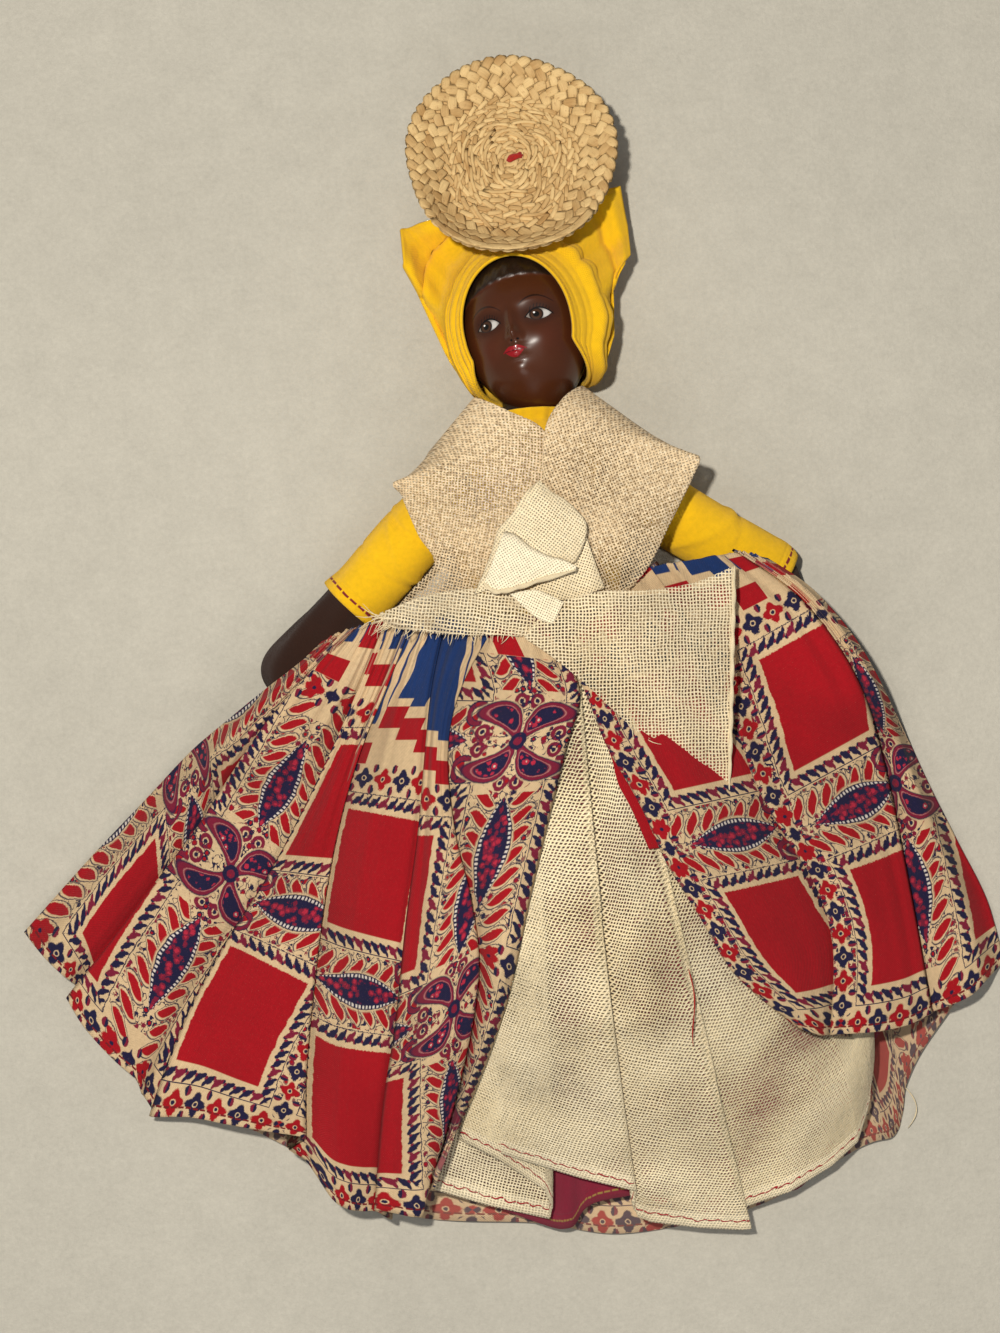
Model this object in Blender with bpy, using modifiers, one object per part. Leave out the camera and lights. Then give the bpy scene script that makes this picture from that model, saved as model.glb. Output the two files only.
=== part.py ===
# Topsy turvy doll, lying on its back: two half dolls of cloth with hard heads, joined at
# the waist and facing opposite ways, with one reversible skirt that hides the second doll.
# +Z is up, +Y runs to the head of the doll that shows, +X is the viewer's right.
# The origin is on the flat underside of the skirt's back, below the waist seam.

import math

import bmesh
import bpy
from mathutils import Euler, Matrix, Vector

MM = 0.001

# Fits and cloth
CLEARANCE = 0.3 * MM
LAYER_GAP = 0.5 * MM
DRESS_ROOM = 0.55 * MM
WELD = 0.01 * MM
PRINT_CLOTH = 0.9 * MM
LINING_CLOTH = 0.8 * MM
DRESS_CLOTH = 0.9 * MM
GAUZE = 0.5 * MM
OVERRUN = 6 * MM

# Stuffed body, the same for both half dolls
TORSO_LENGTH = 52 * MM
CHEST_HALF_WIDTH = 21.5 * MM
WAIST_HALF_WIDTH = 17 * MM
CHEST_HALF_DEPTH = 13.5 * MM
WAIST_HALF_DEPTH = 10.5 * MM
BACK_HEIGHT = 4.1 * MM
CHEST_START_SHARE = 0.55
SHOULDER_POWER = 6

# Shoulder hinges
SHOULDER_X = 24.5 * MM
SHOULDER_Y = 33.5 * MM
SHOULDER_Z = 14.2 * MM
ARM_HALF_WIDTH = 7.8 * MM
ARM_HALF_DEPTH = 5.2 * MM
SLEEVE_CLOTH = 0.9 * MM
SLEEVE_ROOM = 0.8 * MM
SLEEVE_ROOT = ARM_HALF_WIDTH + SLEEVE_ROOM + SLEEVE_CLOTH
ARMHOLE_ROOM = 1.4 * MM
HIDDEN_ARMHOLE_ROOM = 2.3 * MM

# Hard heads
HEAD_HALF_WIDTH = 16.2 * MM
HEAD_HALF_HEIGHT = 21.5 * MM
HEAD_HALF_DEPTH = 15.2 * MM
JAW_TAPER_SHARE = 0.22
NECK_RADIUS = 6.8 * MM
NECK_PLUG = 9 * MM
FLANGE_RADIUS = 8.4 * MM
FLANGE_HEIGHT = 2.2 * MM
NOSE = 2.7 * MM
SOCKET = 1.3 * MM
LIPS = 1.5 * MM
CHIN = 1.4 * MM

# Skirt
SKIRT_LENGTH = 160 * MM
SKIRT_SPREAD = 140 * MM
SIDE_HEIGHT = 4.6 * MM
LAYER_RISE = 1.3 * MM
APRON_ROOM = 3.5 * MM
APRON_COVER = 1.5 * MM
PLEAT_RISE = 0.9 * MM
EDGE_FOLD = 2.1 * MM


def smooth(value):
    value = min(1.0, max(0.0, value))
    return value * value * (3 - 2 * value)


def along(points, t):
    """A place on a row of hand-chosen points, t running from 0 to 1 over the row."""
    span = (len(points) - 1) * min(1.0, max(0.0, t))
    first = min(int(span), len(points) - 2)
    part = span - first
    return [a + (b - a) * part for a, b in zip(points[first], points[first + 1])]


def bell(value, width):
    return math.exp(-((value / width) ** 2))


# Collections and materials
for old in list(bpy.data.objects):
    bpy.data.objects.remove(old, do_unlink=True)
doll = bpy.data.collections.new("topsy_turvy_doll")
cutters = bpy.data.collections.new("doll_cutters")
bpy.context.scene.collection.children.link(doll)
bpy.context.scene.collection.children.link(cutters)


def material(name, colour, roughness):
    made = bpy.data.materials.new(name)
    made.use_nodes = True
    shader = made.node_tree.nodes["Principled BSDF"]
    shader.inputs["Base Color"].default_value = (*colour, 1)
    shader.inputs["Roughness"].default_value = roughness
    shader.inputs["Metallic"].default_value = 0
    return made


yellow_cotton = material("yellow_cotton", (0.87, 0.48, 0.01), 0.8)
print_cotton = material("print_cotton", (0.49, 0.01, 0.015), 0.8)
maroon_cotton = material("maroon_cotton", (0.19, 0.01, 0.025), 0.85)
cream_gauze = material("cream_gauze", (0.75, 0.6, 0.38), 0.9)
shawl_gauze = material("shawl_gauze", (0.58, 0.46, 0.3), 0.9)
brown_cloth = material("brown_cloth", (0.04, 0.018, 0.012), 0.85)
brown_plastic = material("brown_plastic", (0.05, 0.015, 0.006), 0.3)
plaited_straw = material("plaited_straw", (0.75, 0.48, 0.2), 0.7)
red_thread = material("red_thread", (0.45, 0.01, 0.01), 0.8)
calico = material("calico", (0.55, 0.45, 0.3), 0.9)


def put(name, mesh, look, parent=None, smooth_shade=True):
    made = bpy.data.objects.new(name, mesh)
    made.data.materials.append(look)
    doll.objects.link(made)
    if parent:
        made.parent = parent
        made.matrix_parent_inverse = Matrix()
    if smooth_shade:
        made.data.shade_smooth()
    return made


def joint_point(name, place):
    empty = bpy.data.objects.new(name, None)
    empty.location = place
    doll.objects.link(empty)
    return empty


def shaped_grid(across, along_count, place, closed=False):
    """A flat grid whose points are moved onto a surface; closed joins its two sides."""
    bm = bmesh.new()
    bmesh.ops.create_grid(bm, x_segments=across, y_segments=along_count, size=1)
    for vert in bm.verts:
        vert.co = place((vert.co.x + 1) / 2, (vert.co.y + 1) / 2)
    if closed:
        bmesh.ops.remove_doubles(bm, verts=bm.verts, dist=WELD)
    mesh = bpy.data.meshes.new("surface")
    bm.to_mesh(mesh)
    bm.free()
    return mesh


def shaped_ball(around, rings, place):
    """A ball whose points are moved onto a swelling form."""
    bm = bmesh.new()
    bmesh.ops.create_uvsphere(bm, u_segments=around, v_segments=rings, radius=1)
    for vert in bm.verts:
        vert.co = place(vert.co.copy())
    mesh = bpy.data.meshes.new("form")
    bm.to_mesh(mesh)
    bm.free()
    return mesh


def thicken(made, thickness, side):
    shell = made.modifiers.new("cloth", "SOLIDIFY")
    shell.thickness = thickness
    shell.offset = side
    shell.use_rim = True
    return made


def cut(made, cutter):
    hole = made.modifiers.new("cut", "BOOLEAN")
    hole.operation = "DIFFERENCE"
    hole.solver = "EXACT"
    hole.object = cutter


def cylinder_cutter(name, radius, depth, place, turn=(0, 0, 0)):
    bm = bmesh.new()
    bmesh.ops.create_cone(
        bm, cap_ends=True, segments=24, radius1=radius, radius2=radius, depth=depth
    )
    mesh = bpy.data.meshes.new(name)
    bm.to_mesh(mesh)
    bm.free()
    made = bpy.data.objects.new(name, mesh)
    made.location = place
    made.rotation_euler = turn
    made.hide_render = True
    made.display_type = "WIRE"
    cutters.objects.link(made)
    return made


# The stuffed body: both torsos are one bag of cloth, drawn in at the waist seam
def torso_sizes(share):
    chest = smooth(abs(share) / CHEST_START_SHARE)
    end = math.sqrt(max(0.0, 1 - abs(share) ** SHOULDER_POWER))
    half_width = WAIST_HALF_WIDTH + (CHEST_HALF_WIDTH - WAIST_HALF_WIDTH) * chest
    half_depth = WAIST_HALF_DEPTH + (CHEST_HALF_DEPTH - WAIST_HALF_DEPTH) * chest
    return half_width, half_depth, BACK_HEIGHT + half_depth, end


def torso_point(share, angle, gap=0.0):
    half_width, half_depth, middle, end = torso_sizes(share)
    return Vector(
        (
            (half_width + gap) * end * math.cos(angle),
            (TORSO_LENGTH + gap) * share,
            middle + (half_depth + gap) * end * math.sin(angle),
        )
    )


def torso_form(point):
    angle = math.atan2(point.y, point.x)
    return torso_point(point.z, angle)


stuffed_body = put("stuffed_body", shaped_ball(20, 16, torso_form), calico)
arm_cutters = []
for side in (-1, 1):
    for end in (-1, 1):
        room = ARMHOLE_ROOM if end > 0 else HIDDEN_ARMHOLE_ROOM
        arm_cutters.append(
            cylinder_cutter(
                "armhole_cutter",
                SLEEVE_ROOT + room,
                CHEST_HALF_DEPTH * 4,
                (side * SHOULDER_X, end * SHOULDER_Y, SHOULDER_Z),
            )
        )


def neck_cutter(end):
    """A stepped hole that holds the neck and its flange with a running gap."""
    bm = bmesh.new()
    radius = NECK_RADIUS + CLEARANCE
    foot = FLANGE_RADIUS + CLEARANCE
    top = TORSO_LENGTH + OVERRUN
    step = NECK_SEAT + FLANGE_HEIGHT + CLEARANCE
    floor = NECK_SEAT - CLEARANCE
    profile = ((0, top), (radius, top), (radius, step), (foot, step), (foot, floor), (0, floor))
    verts = [bm.verts.new((x, 0, z)) for x, z in profile]
    for first, second in zip(verts, verts[1:]):
        bm.edges.new((first, second))
    mesh = bpy.data.meshes.new("neck_cutter")
    bm.to_mesh(mesh)
    bm.free()
    made = bpy.data.objects.new("neck_cutter", mesh)
    screw = made.modifiers.new("turn", "SCREW")
    screw.steps = 32
    screw.render_steps = 32
    screw.merge_threshold = WELD
    screw.use_merge_vertices = True
    made.location = (0, 0, NECK_HEIGHT)
    made.rotation_euler = (-end * math.pi / 2, 0, 0)
    made.hide_render = True
    made.display_type = "WIRE"
    cutters.objects.link(made)
    return made


NECK_HEIGHT = BACK_HEIGHT + CHEST_HALF_DEPTH
NECK_SEAT = TORSO_LENGTH - NECK_PLUG
neck_cutters = {1: neck_cutter(1), -1: neck_cutter(-1)}
for cutter in arm_cutters + list(neck_cutters.values()):
    cut(stuffed_body, cutter)


# The bodices: yellow on the doll that shows, maroon on the hidden one
BODICE_HEM_SHARE = 0.06
NECKLINE_SHARE = 0.925


def add_bodice(name, end, look):
    def place(u, t):
        share = BODICE_HEM_SHARE + (NECKLINE_SHARE - BODICE_HEM_SHARE) * math.sin(t * math.pi / 2)
        return torso_point(end * share, -end * 2 * math.pi * u, DRESS_ROOM)

    made = thicken(put(name, shaped_grid(20, 6, place, True), look), DRESS_CLOTH, 1)
    for cutter in arm_cutters:
        if cutter.location.y * end > 0:
            cut(made, cutter)
    return made


bodice_a = add_bodice("bodice_a", 1, yellow_cotton)
bodice_b = add_bodice("bodice_b", -1, maroon_cotton)

# The waistband covers the seam between the two bodices
BAND_CLOTH = 1.1 * MM
BAND_HALF_SHARE = BODICE_HEM_SHARE * 0.85


def band_place(u, t):
    share = BAND_HALF_SHARE * (2 * t - 1)
    return torso_point(share, -2 * math.pi * u, DRESS_ROOM)


waistband = thicken(
    put("waistband", shaped_grid(20, 2, band_place, True), maroon_cotton), BAND_CLOTH, 1
)


# Hard plastic heads: an egg with a turned neck plug, nose, eye sockets, lips and chin
HEAD_RISE = 23 * MM
HEAD_SHIFT = 1 * MM
HEAD_LIFT_A = 0.3 * MM
HEAD_LIFT_B = 2.3 * MM


def egg(direction, gap=0.0):
    """The plain head in its own frame: x across, y to the crown, z to the face."""
    low = max(0.0, -direction.y)
    across = HEAD_HALF_WIDTH * (1 - JAW_TAPER_SHARE * low * low) + gap
    return Vector(
        (
            across * direction.x,
            (HEAD_HALF_HEIGHT + gap) * direction.y,
            (HEAD_HALF_DEPTH + gap) * direction.z,
        )
    )


def head_form(direction):
    point = egg(direction)
    if direction.z < 0:
        return point
    x = point.x / HEAD_HALF_WIDTH
    y = point.y / HEAD_HALF_HEIGHT
    nose = bell(x, 0.13) * (bell(y + 0.16, 0.12) + 0.55 * bell(y - 0.02, 0.13))
    sockets = (bell(x - 0.42, 0.24) + bell(x + 0.42, 0.24)) * bell(y - 0.06, 0.13)
    lips = bell(x, 0.24) * bell(y + 0.42, 0.08)
    chin = bell(x, 0.36) * bell(y + 0.76, 0.16)
    point.z += NOSE * nose - SOCKET * sockets + LIPS * lips + CHIN * chin
    return point


def add_head(name, end, turn, joint):
    """One head and neck, in the frame of its neck joint."""
    lift = HEAD_LIFT_A if end > 0 else HEAD_LIFT_B
    centre = Vector((HEAD_SHIFT * max(0, end), end * HEAD_RISE, lift))
    place = Matrix.Translation(centre) @ turn.to_matrix().to_4x4()
    head = put(name, shaped_ball(24, 18, lambda p: place @ head_form(p)), brown_plastic, joint)
    bm = bmesh.new()
    plug = NECK_PLUG
    reach = HEAD_RISE - HEAD_HALF_HEIGHT * 0.55
    profile = (
        (0, reach),
        (NECK_RADIUS, reach),
        (NECK_RADIUS, FLANGE_HEIGHT - plug),
        (FLANGE_RADIUS, FLANGE_HEIGHT - plug),
        (FLANGE_RADIUS, -plug),
        (0, -plug),
    )
    verts = [bm.verts.new((x, 0, z)) for x, z in profile]
    for first, second in zip(verts, verts[1:]):
        bm.edges.new((first, second))
    mesh = bpy.data.meshes.new("neck")
    bm.to_mesh(mesh)
    bm.free()
    neck = bpy.data.objects.new("neck_tool", mesh)
    screw = neck.modifiers.new("turn", "SCREW")
    screw.steps = 24
    screw.render_steps = 24
    screw.merge_threshold = WELD
    screw.use_merge_vertices = True
    neck.rotation_euler = (-end * math.pi / 2, 0, 0)
    neck.location = joint.location
    neck.hide_render = True
    neck.display_type = "WIRE"
    cutters.objects.link(neck)
    join = head.modifiers.new("neck", "BOOLEAN")
    join.operation = "UNION"
    join.solver = "EXACT"
    join.object = neck
    return head, place


neck_a = joint_point("neck_joint_a", (0, TORSO_LENGTH, NECK_HEIGHT))
neck_b = joint_point("neck_joint_b", (0, -TORSO_LENGTH, NECK_HEIGHT))
TURN_A = Euler((math.radians(-9), math.radians(-13), math.radians(9)))
TURN_B = Euler((0, 0, math.pi))
head_a, frame_a = add_head("head_a", 1, TURN_A, neck_a)
head_b, frame_b = add_head("head_b", -1, TURN_B, neck_b)

# Headscarves: a cloth round the head, open at the face and gathered behind
SCARF_CLOTH = 1.0 * MM
SCARF_FULLNESS = 4.2 * MM
HIDDEN_FULLNESS = 0.15 * MM
SCARF_FOLD = 0.9 * MM
HIDDEN_FOLD = 0.3 * MM
SCARF_ROOM = 1.0 * MM
FACE_TOP = math.radians(58)
FACE_SIDE = math.radians(62)
FACE_JAW = math.radians(136)


def scarf_opening(angle):
    """The polar angle of the scarf's edge, from the face's middle."""
    upright = math.sin(angle)
    if upright > 0:
        return FACE_SIDE + (FACE_TOP - FACE_SIDE) * upright
    return FACE_SIDE + (FACE_JAW - FACE_SIDE) * smooth((-upright - 0.25) / 0.6)


def scarf_place(place, angle, t, fullness, extra=0.0, crease=SCARF_FOLD):
    """A place on the scarf's inner face, t from the face's edge to the back of the head."""
    start = scarf_opening(angle)
    polar = start + (math.pi - start) * t
    flat = math.sin(polar)
    direction = Vector((flat * math.cos(angle), flat * math.sin(angle), math.cos(polar)))
    high = 0.35 + 0.65 * smooth(0.5 + math.sin(angle))
    swell = math.sin(math.pi * min(1.0, t * 1.25)) ** 2 * high if t < 0.8 else 0.0
    fold = (0.5 + 0.5 * math.cos(9 * angle)) * math.sin(math.pi * t)
    return place @ egg(direction, SCARF_ROOM + fullness * swell + crease * fold + extra)


def add_scarf(name, place, joint, look, fullness, crease, around):
    def surface(u, t):
        return scarf_place(place, -2 * math.pi * u, t, fullness, 0.0, crease)

    return thicken(
        put(name, shaped_grid(around, 8, surface, True), look, joint), SCARF_CLOTH, 1
    )


headscarf_a = add_scarf(
    "headscarf_a", frame_a, neck_a, yellow_cotton, SCARF_FULLNESS, SCARF_FOLD, 28
)
headscarf_b = add_scarf(
    "headscarf_b", frame_b, neck_b, maroon_cotton, HIDDEN_FULLNESS, HIDDEN_FOLD, 24
)

# The plaited tray: a shallow straw dish stitched on at its middle, tipped back on the scarf
TRAY_RADIUS = 27 * MM
TRAY_FLOOR_RADIUS = 15.5 * MM
TRAY_DEPTH = 4.2 * MM
TRAY_STRAW = 1.6 * MM
TRAY_RIDGE = 0.35 * MM
TRAY_RISE = 68 * MM
TRAY_SIDE = 1 * MM
TRAY_HEIGHT = 20 * MM
TRAY_TIP = math.radians(15)
TRAY_RINGS = 5

tray_joint = joint_point("tray_joint_a", (TRAY_SIDE, TORSO_LENGTH + TRAY_RISE, TRAY_HEIGHT))
tray_joint.rotation_euler = (-TRAY_TIP, 0, 0)


def tray_profile():
    """The dish from its rim in to its middle, one ridge for each round of plait."""
    outer = []
    inner = []
    for step in range(2 * TRAY_RINGS + 1):
        share = 1 - step / (2 * TRAY_RINGS)
        radius = TRAY_RADIUS * share
        rise = TRAY_DEPTH * smooth((radius - TRAY_FLOOR_RADIUS) / (TRAY_RADIUS - TRAY_FLOOR_RADIUS))
        ridge = TRAY_RIDGE if step % 2 == 0 and 0 < share < 1 else 0.0
        inner.append((radius, rise + TRAY_STRAW + ridge))
        outer.append((radius, rise))
    return inner[::-1] + outer


bm = bmesh.new()
verts = [bm.verts.new((x, 0, z)) for x, z in tray_profile()]
for first, second in zip(verts, verts[1:]):
    bm.edges.new((first, second))
mesh = bpy.data.meshes.new("tray")
bm.to_mesh(mesh)
bm.free()
basket_tray_a = put("basket_tray_a", mesh, plaited_straw, tray_joint)
screw = basket_tray_a.modifiers.new("turn", "SCREW")
screw.steps = 24
screw.render_steps = 24
screw.merge_threshold = WELD
screw.use_merge_vertices = True

STITCH_LENGTH = 3.6 * MM
STITCH_WIDTH = 0.9 * MM
bpy.ops.mesh.primitive_cylinder_add(vertices=8, radius=STITCH_WIDTH / 2, depth=STITCH_LENGTH)
tray_stitch_a = bpy.context.object
tray_stitch_a.name = "tray_stitch_a"
for owner in tray_stitch_a.users_collection:
    owner.objects.unlink(tray_stitch_a)
doll.objects.link(tray_stitch_a)
tray_stitch_a.data.materials.append(red_thread)
tray_stitch_a.parent = tray_joint
tray_stitch_a.matrix_parent_inverse = Matrix()
tray_stitch_a.location = (0, 0, TRAY_STRAW + TRAY_RIDGE + CLEARANCE + STITCH_WIDTH / 2)
tray_stitch_a.rotation_euler = (0, math.pi / 2, math.radians(20))

# The scarf's knotted ends: two wings beside the tray and a peak that carries it
WING_CLOTH = 1.4 * MM
WING_RISE = 1.6 * MM
WING_REACH = 32 * MM
WING_TOP = 55 * MM
PEAK_HALF_WIDTH = 13 * MM
PEAK_TIP_SHARE = 0.6
PEAK_PAST = 4 * MM
PEAK_SAG = 1.5 * MM

# Tips of each wing, lower and upper, as shares of its reach and of its top above the neck
LEFT_TIP_SHARES = ((-0.88, 0.70), (-0.94, 0.84), (-0.92, 1.0), (-0.70, 1.02), (-0.50, 1.02))
RIGHT_TIP_SHARES = ((0.84, 0.64), (0.95, 0.80), (0.95, 1.08), (0.74, 1.06), (0.52, 1.04))
WING_ROOT_SHARE = 0.36
CROWN_ROOT_SHARE = 0.34
WING_TIP_HEIGHT = -1.5 * MM
WING_SEAT = SCARF_CLOTH + CLEARANCE + WING_CLOTH / 2
PEAK_SEAT = SCARF_CLOTH + CLEARANCE
CROWN_HALF_ANGLE = math.radians(26)


def add_wing(name, tips, low_angle, high_angle):
    """One knotted end, from the scarf's upper corner out to its raised tip."""

    def surface(u, t):
        angle = math.radians(low_angle + (high_angle - low_angle) * t)
        root = scarf_place(frame_a, angle, WING_ROOT_SHARE, SCARF_FULLNESS, WING_SEAT)
        x, y = along(tips, t)
        height = WING_TIP_HEIGHT + WING_RISE * math.sin(2.5 * math.pi * t)
        return root.lerp(Vector((WING_REACH * x, WING_TOP * y, height)), u)

    return thicken(put(name, shaped_grid(6, 8, surface), yellow_cotton, neck_a), WING_CLOTH, 0)


scarf_wing_left_a = add_wing("scarf_wing_left_a", LEFT_TIP_SHARES, 172, 121)
scarf_wing_right_a = add_wing("scarf_wing_right_a", RIGHT_TIP_SHARES, 10, 59)


def peak_surface(u, t):
    """The folded ends behind the tray, from the crown up to the tray's middle."""
    angle = math.pi / 2 - CROWN_HALF_ANGLE * (2 * u - 1)
    root = scarf_place(frame_a, angle, CROWN_ROOT_SHARE, SCARF_FULLNESS, PEAK_SEAT)
    share = PEAK_TIP_SHARE * (2 * u - 1)
    top = Vector((TRAY_SIDE + PEAK_HALF_WIDTH * share, TRAY_RISE + PEAK_PAST, 0))
    lean = math.tan(TRAY_TIP) * (TRAY_RISE - top.y)
    top.z = TRAY_HEIGHT - NECK_HEIGHT + lean - (CLEARANCE + WING_CLOTH / 2) / math.cos(TRAY_TIP)
    point = root.lerp(top, t)
    point.z -= PEAK_SAG * math.sin(math.pi * t)
    return point


scarf_peak_a = thicken(
    put("scarf_peak_a", shaped_grid(6, 6, peak_surface), yellow_cotton, neck_a), WING_CLOTH, 0
)

# Arms: stuffed brown cloth mittens in cotton sleeves, hinged at the shoulder
LEFT_ARM_LENGTH = 67 * MM
RIGHT_ARM_LENGTH = 68 * MM
HIDDEN_ARM_LENGTH = 60 * MM
LEFT_SLEEVE_LENGTH = 36 * MM
RIGHT_SLEEVE_LENGTH = 47 * MM
HIDDEN_SLEEVE_LENGTH = 40 * MM
CUFF_FLARE = 0.5 * MM
WRIST_BEND = 14 * MM

# Half widths and half depths along an arm, from the root to the hand's blunt end
ARM_WIDTH_SHARES = ((1.0,), (0.98,), (0.92,), (0.88,), (0.90,), (0.98,), (1.0,), (0.92,))
ARM_DEPTH_SHARES = ((1.15,), (1.12,), (1.05,), (0.98,), (0.88,), (0.78,), (0.70,), (0.62,))


def arm_point(length, share, angle, gap, bend):
    """A place on the arm, share 0 at the shoulder's axis and 1 at the fingertips."""
    wide = along(ARM_WIDTH_SHARES, share)[0] * ARM_HALF_WIDTH
    deep = along(ARM_DEPTH_SHARES, share)[0] * ARM_HALF_DEPTH
    if share < 0:
        close = math.sqrt(max(0.0, 1 - (share * length / ARM_HALF_WIDTH) ** 2))
    else:
        close = math.sqrt(max(0.0, 1 - max(0.0, (share - 0.86) / 0.14) ** 3))
    side = bend * smooth((share - 0.6) / 0.5) * 1.6
    return Vector(
        (
            share * length + (gap * share * length / ARM_HALF_WIDTH if share < 0 else 0),
            (wide + gap) * close * math.cos(angle) + side,
            (deep + gap) * close * math.sin(angle),
        )
    )


def add_arm(number, place, heading, slope, length, sleeve, bend, cloth):
    joint = joint_point("shoulder_joint_" + number, place)
    turn = Euler((0, slope, heading)).to_matrix()

    def arm_form(point):
        angle = math.atan2(point.y, point.x)
        root = ARM_HALF_WIDTH / length
        share = (1 + root) * 0.5 * (point.z + 1) - root
        return turn @ arm_point(length, share, angle, 0, bend)

    put("arm_" + number, shaped_ball(12, 14, arm_form), brown_cloth, joint)

    def sleeve_surface(u, t):
        root = ARM_HALF_WIDTH / length
        start = -root * 0.92
        share = start + (sleeve / length - start) * t ** 1.3
        flare = SLEEVE_ROOM + CUFF_FLARE * smooth(share * 3)
        return turn @ arm_point(length, share, 2 * math.pi * u, flare, bend)

    shell = put("sleeve_" + number, shaped_grid(12, 8, sleeve_surface, True), cloth, joint)
    thicken(shell, SLEEVE_CLOTH, 1)


SLOPE = math.radians(8)
HIDDEN_ARM_Z = 10.9 * MM
LEFT_HEADING = math.radians(180 + 42)
RIGHT_HEADING = math.radians(-35.5)
HIDDEN_HEADING = math.radians(20)
add_arm(
    "left_a", (-SHOULDER_X, SHOULDER_Y, SHOULDER_Z), LEFT_HEADING, SLOPE,
    LEFT_ARM_LENGTH, LEFT_SLEEVE_LENGTH, 0, yellow_cotton,
)
add_arm(
    "right_a", (SHOULDER_X, SHOULDER_Y, SHOULDER_Z), RIGHT_HEADING, SLOPE,
    RIGHT_ARM_LENGTH, RIGHT_SLEEVE_LENGTH, -WRIST_BEND, yellow_cotton,
)
add_arm(
    "left_b", (-SHOULDER_X, -SHOULDER_Y, HIDDEN_ARM_Z),
    -math.pi / 2 - HIDDEN_HEADING, 0,
    HIDDEN_ARM_LENGTH, HIDDEN_SLEEVE_LENGTH, 0, maroon_cotton,
)
add_arm(
    "right_b", (SHOULDER_X, -SHOULDER_Y, HIDDEN_ARM_Z),
    -math.pi / 2 + HIDDEN_HEADING, 0,
    HIDDEN_ARM_LENGTH, HIDDEN_SLEEVE_LENGTH, 0, maroon_cotton,
)

# The skirt: where its cloths lie, as shares of the skirt's spread and length
LEFT_EDGE_SHARES = (
    (-0.16, 0.03), (-0.27, 0.028), (-0.376, 0.014), (-0.45, -0.015),
    (-0.54, -0.064), (-0.66, -0.136), (-0.82, -0.254), (-1.013, -0.426),
)
RIGHT_EDGE_SHARES = (
    (0.17, 0.05), (0.26, 0.085), (0.35, 0.08), (0.434, 0.032),
    (0.518, -0.056), (0.60, -0.168), (0.68, -0.32), (0.807, -0.588),
)
LEFT_FRONT_SHARES = (
    (0.045, 0.019), (0.046, -0.118), (0.028, -0.221), (-0.044, -0.378),
    (-0.124, -0.535), (-0.177, -0.694), (-0.246, -0.834), (-0.29, -0.896),
)
RIGHT_FRONT_SHARES = (
    (0.052, 0.019), (0.057, -0.118), (0.077, -0.193), (0.15, -0.393),
    (0.217, -0.464), (0.281, -0.566), (0.33, -0.634), (0.40, -0.685),
)
LEFT_TOP_SHARES = ((-0.16, 0.03), (-0.10, 0.02), (-0.03, 0.016), (0.045, 0.019))
RIGHT_TOP_SHARES = ((0.052, 0.019), (0.09, 0.025), (0.13, 0.035), (0.17, 0.05))
LEFT_HEM_SHARES = (
    (-1.013, -0.426), (-0.934, -0.502), (-0.945, -0.542), (-0.826, -0.684), (-0.812, -0.734),
    (-0.64, -0.775), (-0.541, -0.811), (-0.525, -0.87), (-0.467, -0.903), (-0.29, -0.896),
)
RIGHT_HEM_SHARES = (
    (0.40, -0.685), (0.45, -0.695), (0.509, -0.70), (0.57, -0.69),
    (0.632, -0.677), (0.70, -0.65), (0.777, -0.623), (0.807, -0.588),
)
BACK_TOP_SHARES = ((-0.16, 0.01), (-0.08, 0.02), (0.08, 0.02), (0.17, 0.01))
# The back runs below the hands, which lie under the front's outer folds
BACK_LEFT_SHARES = (
    (-0.16, 0.01), (-0.25, -0.03), (-0.35, -0.08), (-0.45, -0.11),
    (-0.55, -0.14), (-0.66, -0.18), (-0.82, -0.27), (-1.003, -0.424),
)
BACK_RIGHT_SHARES = (
    (0.17, 0.01), (0.25, -0.04), (0.34, -0.12), (0.43, -0.18),
    (0.52, -0.20), (0.61, -0.24), (0.69, -0.34), (0.80, -0.588),
)
BACK_HEM_SHARES = (
    (-1.003, -0.424), (-0.914, -0.525), (-0.793, -0.706), (-0.614, -0.794), (-0.50, -0.862),
    (-0.369, -0.946), (-0.131, -0.976), (0.051, -1.008), (0.286, -0.985), (0.504, -0.90),
    (0.575, -0.881), (0.60, -0.80), (0.679, -0.70), (0.80, -0.588),
)
LINING_LEFT_SHARES = ((-0.13, -0.03), (-0.35, -0.11), (-0.60, -0.23), (-0.857, -0.45))
LINING_RIGHT_SHARES = ((0.13, -0.03), (0.36, -0.17), (0.56, -0.30), (0.70, -0.575))
LINING_TOP_SHARES = ((-0.13, -0.03), (-0.05, -0.03), (0.05, -0.03), (0.13, -0.03))
LINING_HEM_SHARES = (
    (-0.857, -0.45), (-0.714, -0.65), (-0.43, -0.825), (-0.143, -0.96), (-0.057, -0.985),
    (0.0, -0.945), (0.20, -0.94), (0.371, -0.956), (0.43, -0.875), (0.514, -0.75), (0.70, -0.575),
)

FOLD_RISE = 3.2 * MM
SKIRT_START_SHARE = 0.035

# Height of the dome over the hidden doll, from the waist's top to the hem
DOME_HEIGHT = 39.6 * MM
DOME_SHARES = (
    (0.73,), (0.76,), (0.89,), (0.92,), (0.94,), (1.0,), (0.90,), (0.56,), (0.28,), (0.18,),
)
DOME_WAIST = 33 * MM
DOME_SKIRT = 58 * MM
DOME_HEM = 95 * MM
DOME_POWER = 2.5
HAND_LIFT_LEFT = 14.5 * MM
HAND_LIFT_RIGHT = 17.5 * MM
HAND_FLAT = 11 * MM
HAND_FALL = 24 * MM


def segment_distance(x, y, place, heading, near, far):
    run = (x - place[0]) * math.cos(heading) + (y - place[1]) * math.sin(heading)
    run = min(far, max(near, run))
    return math.hypot(
        x - place[0] - run * math.cos(heading), y - place[1] - run * math.sin(heading)
    )


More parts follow.
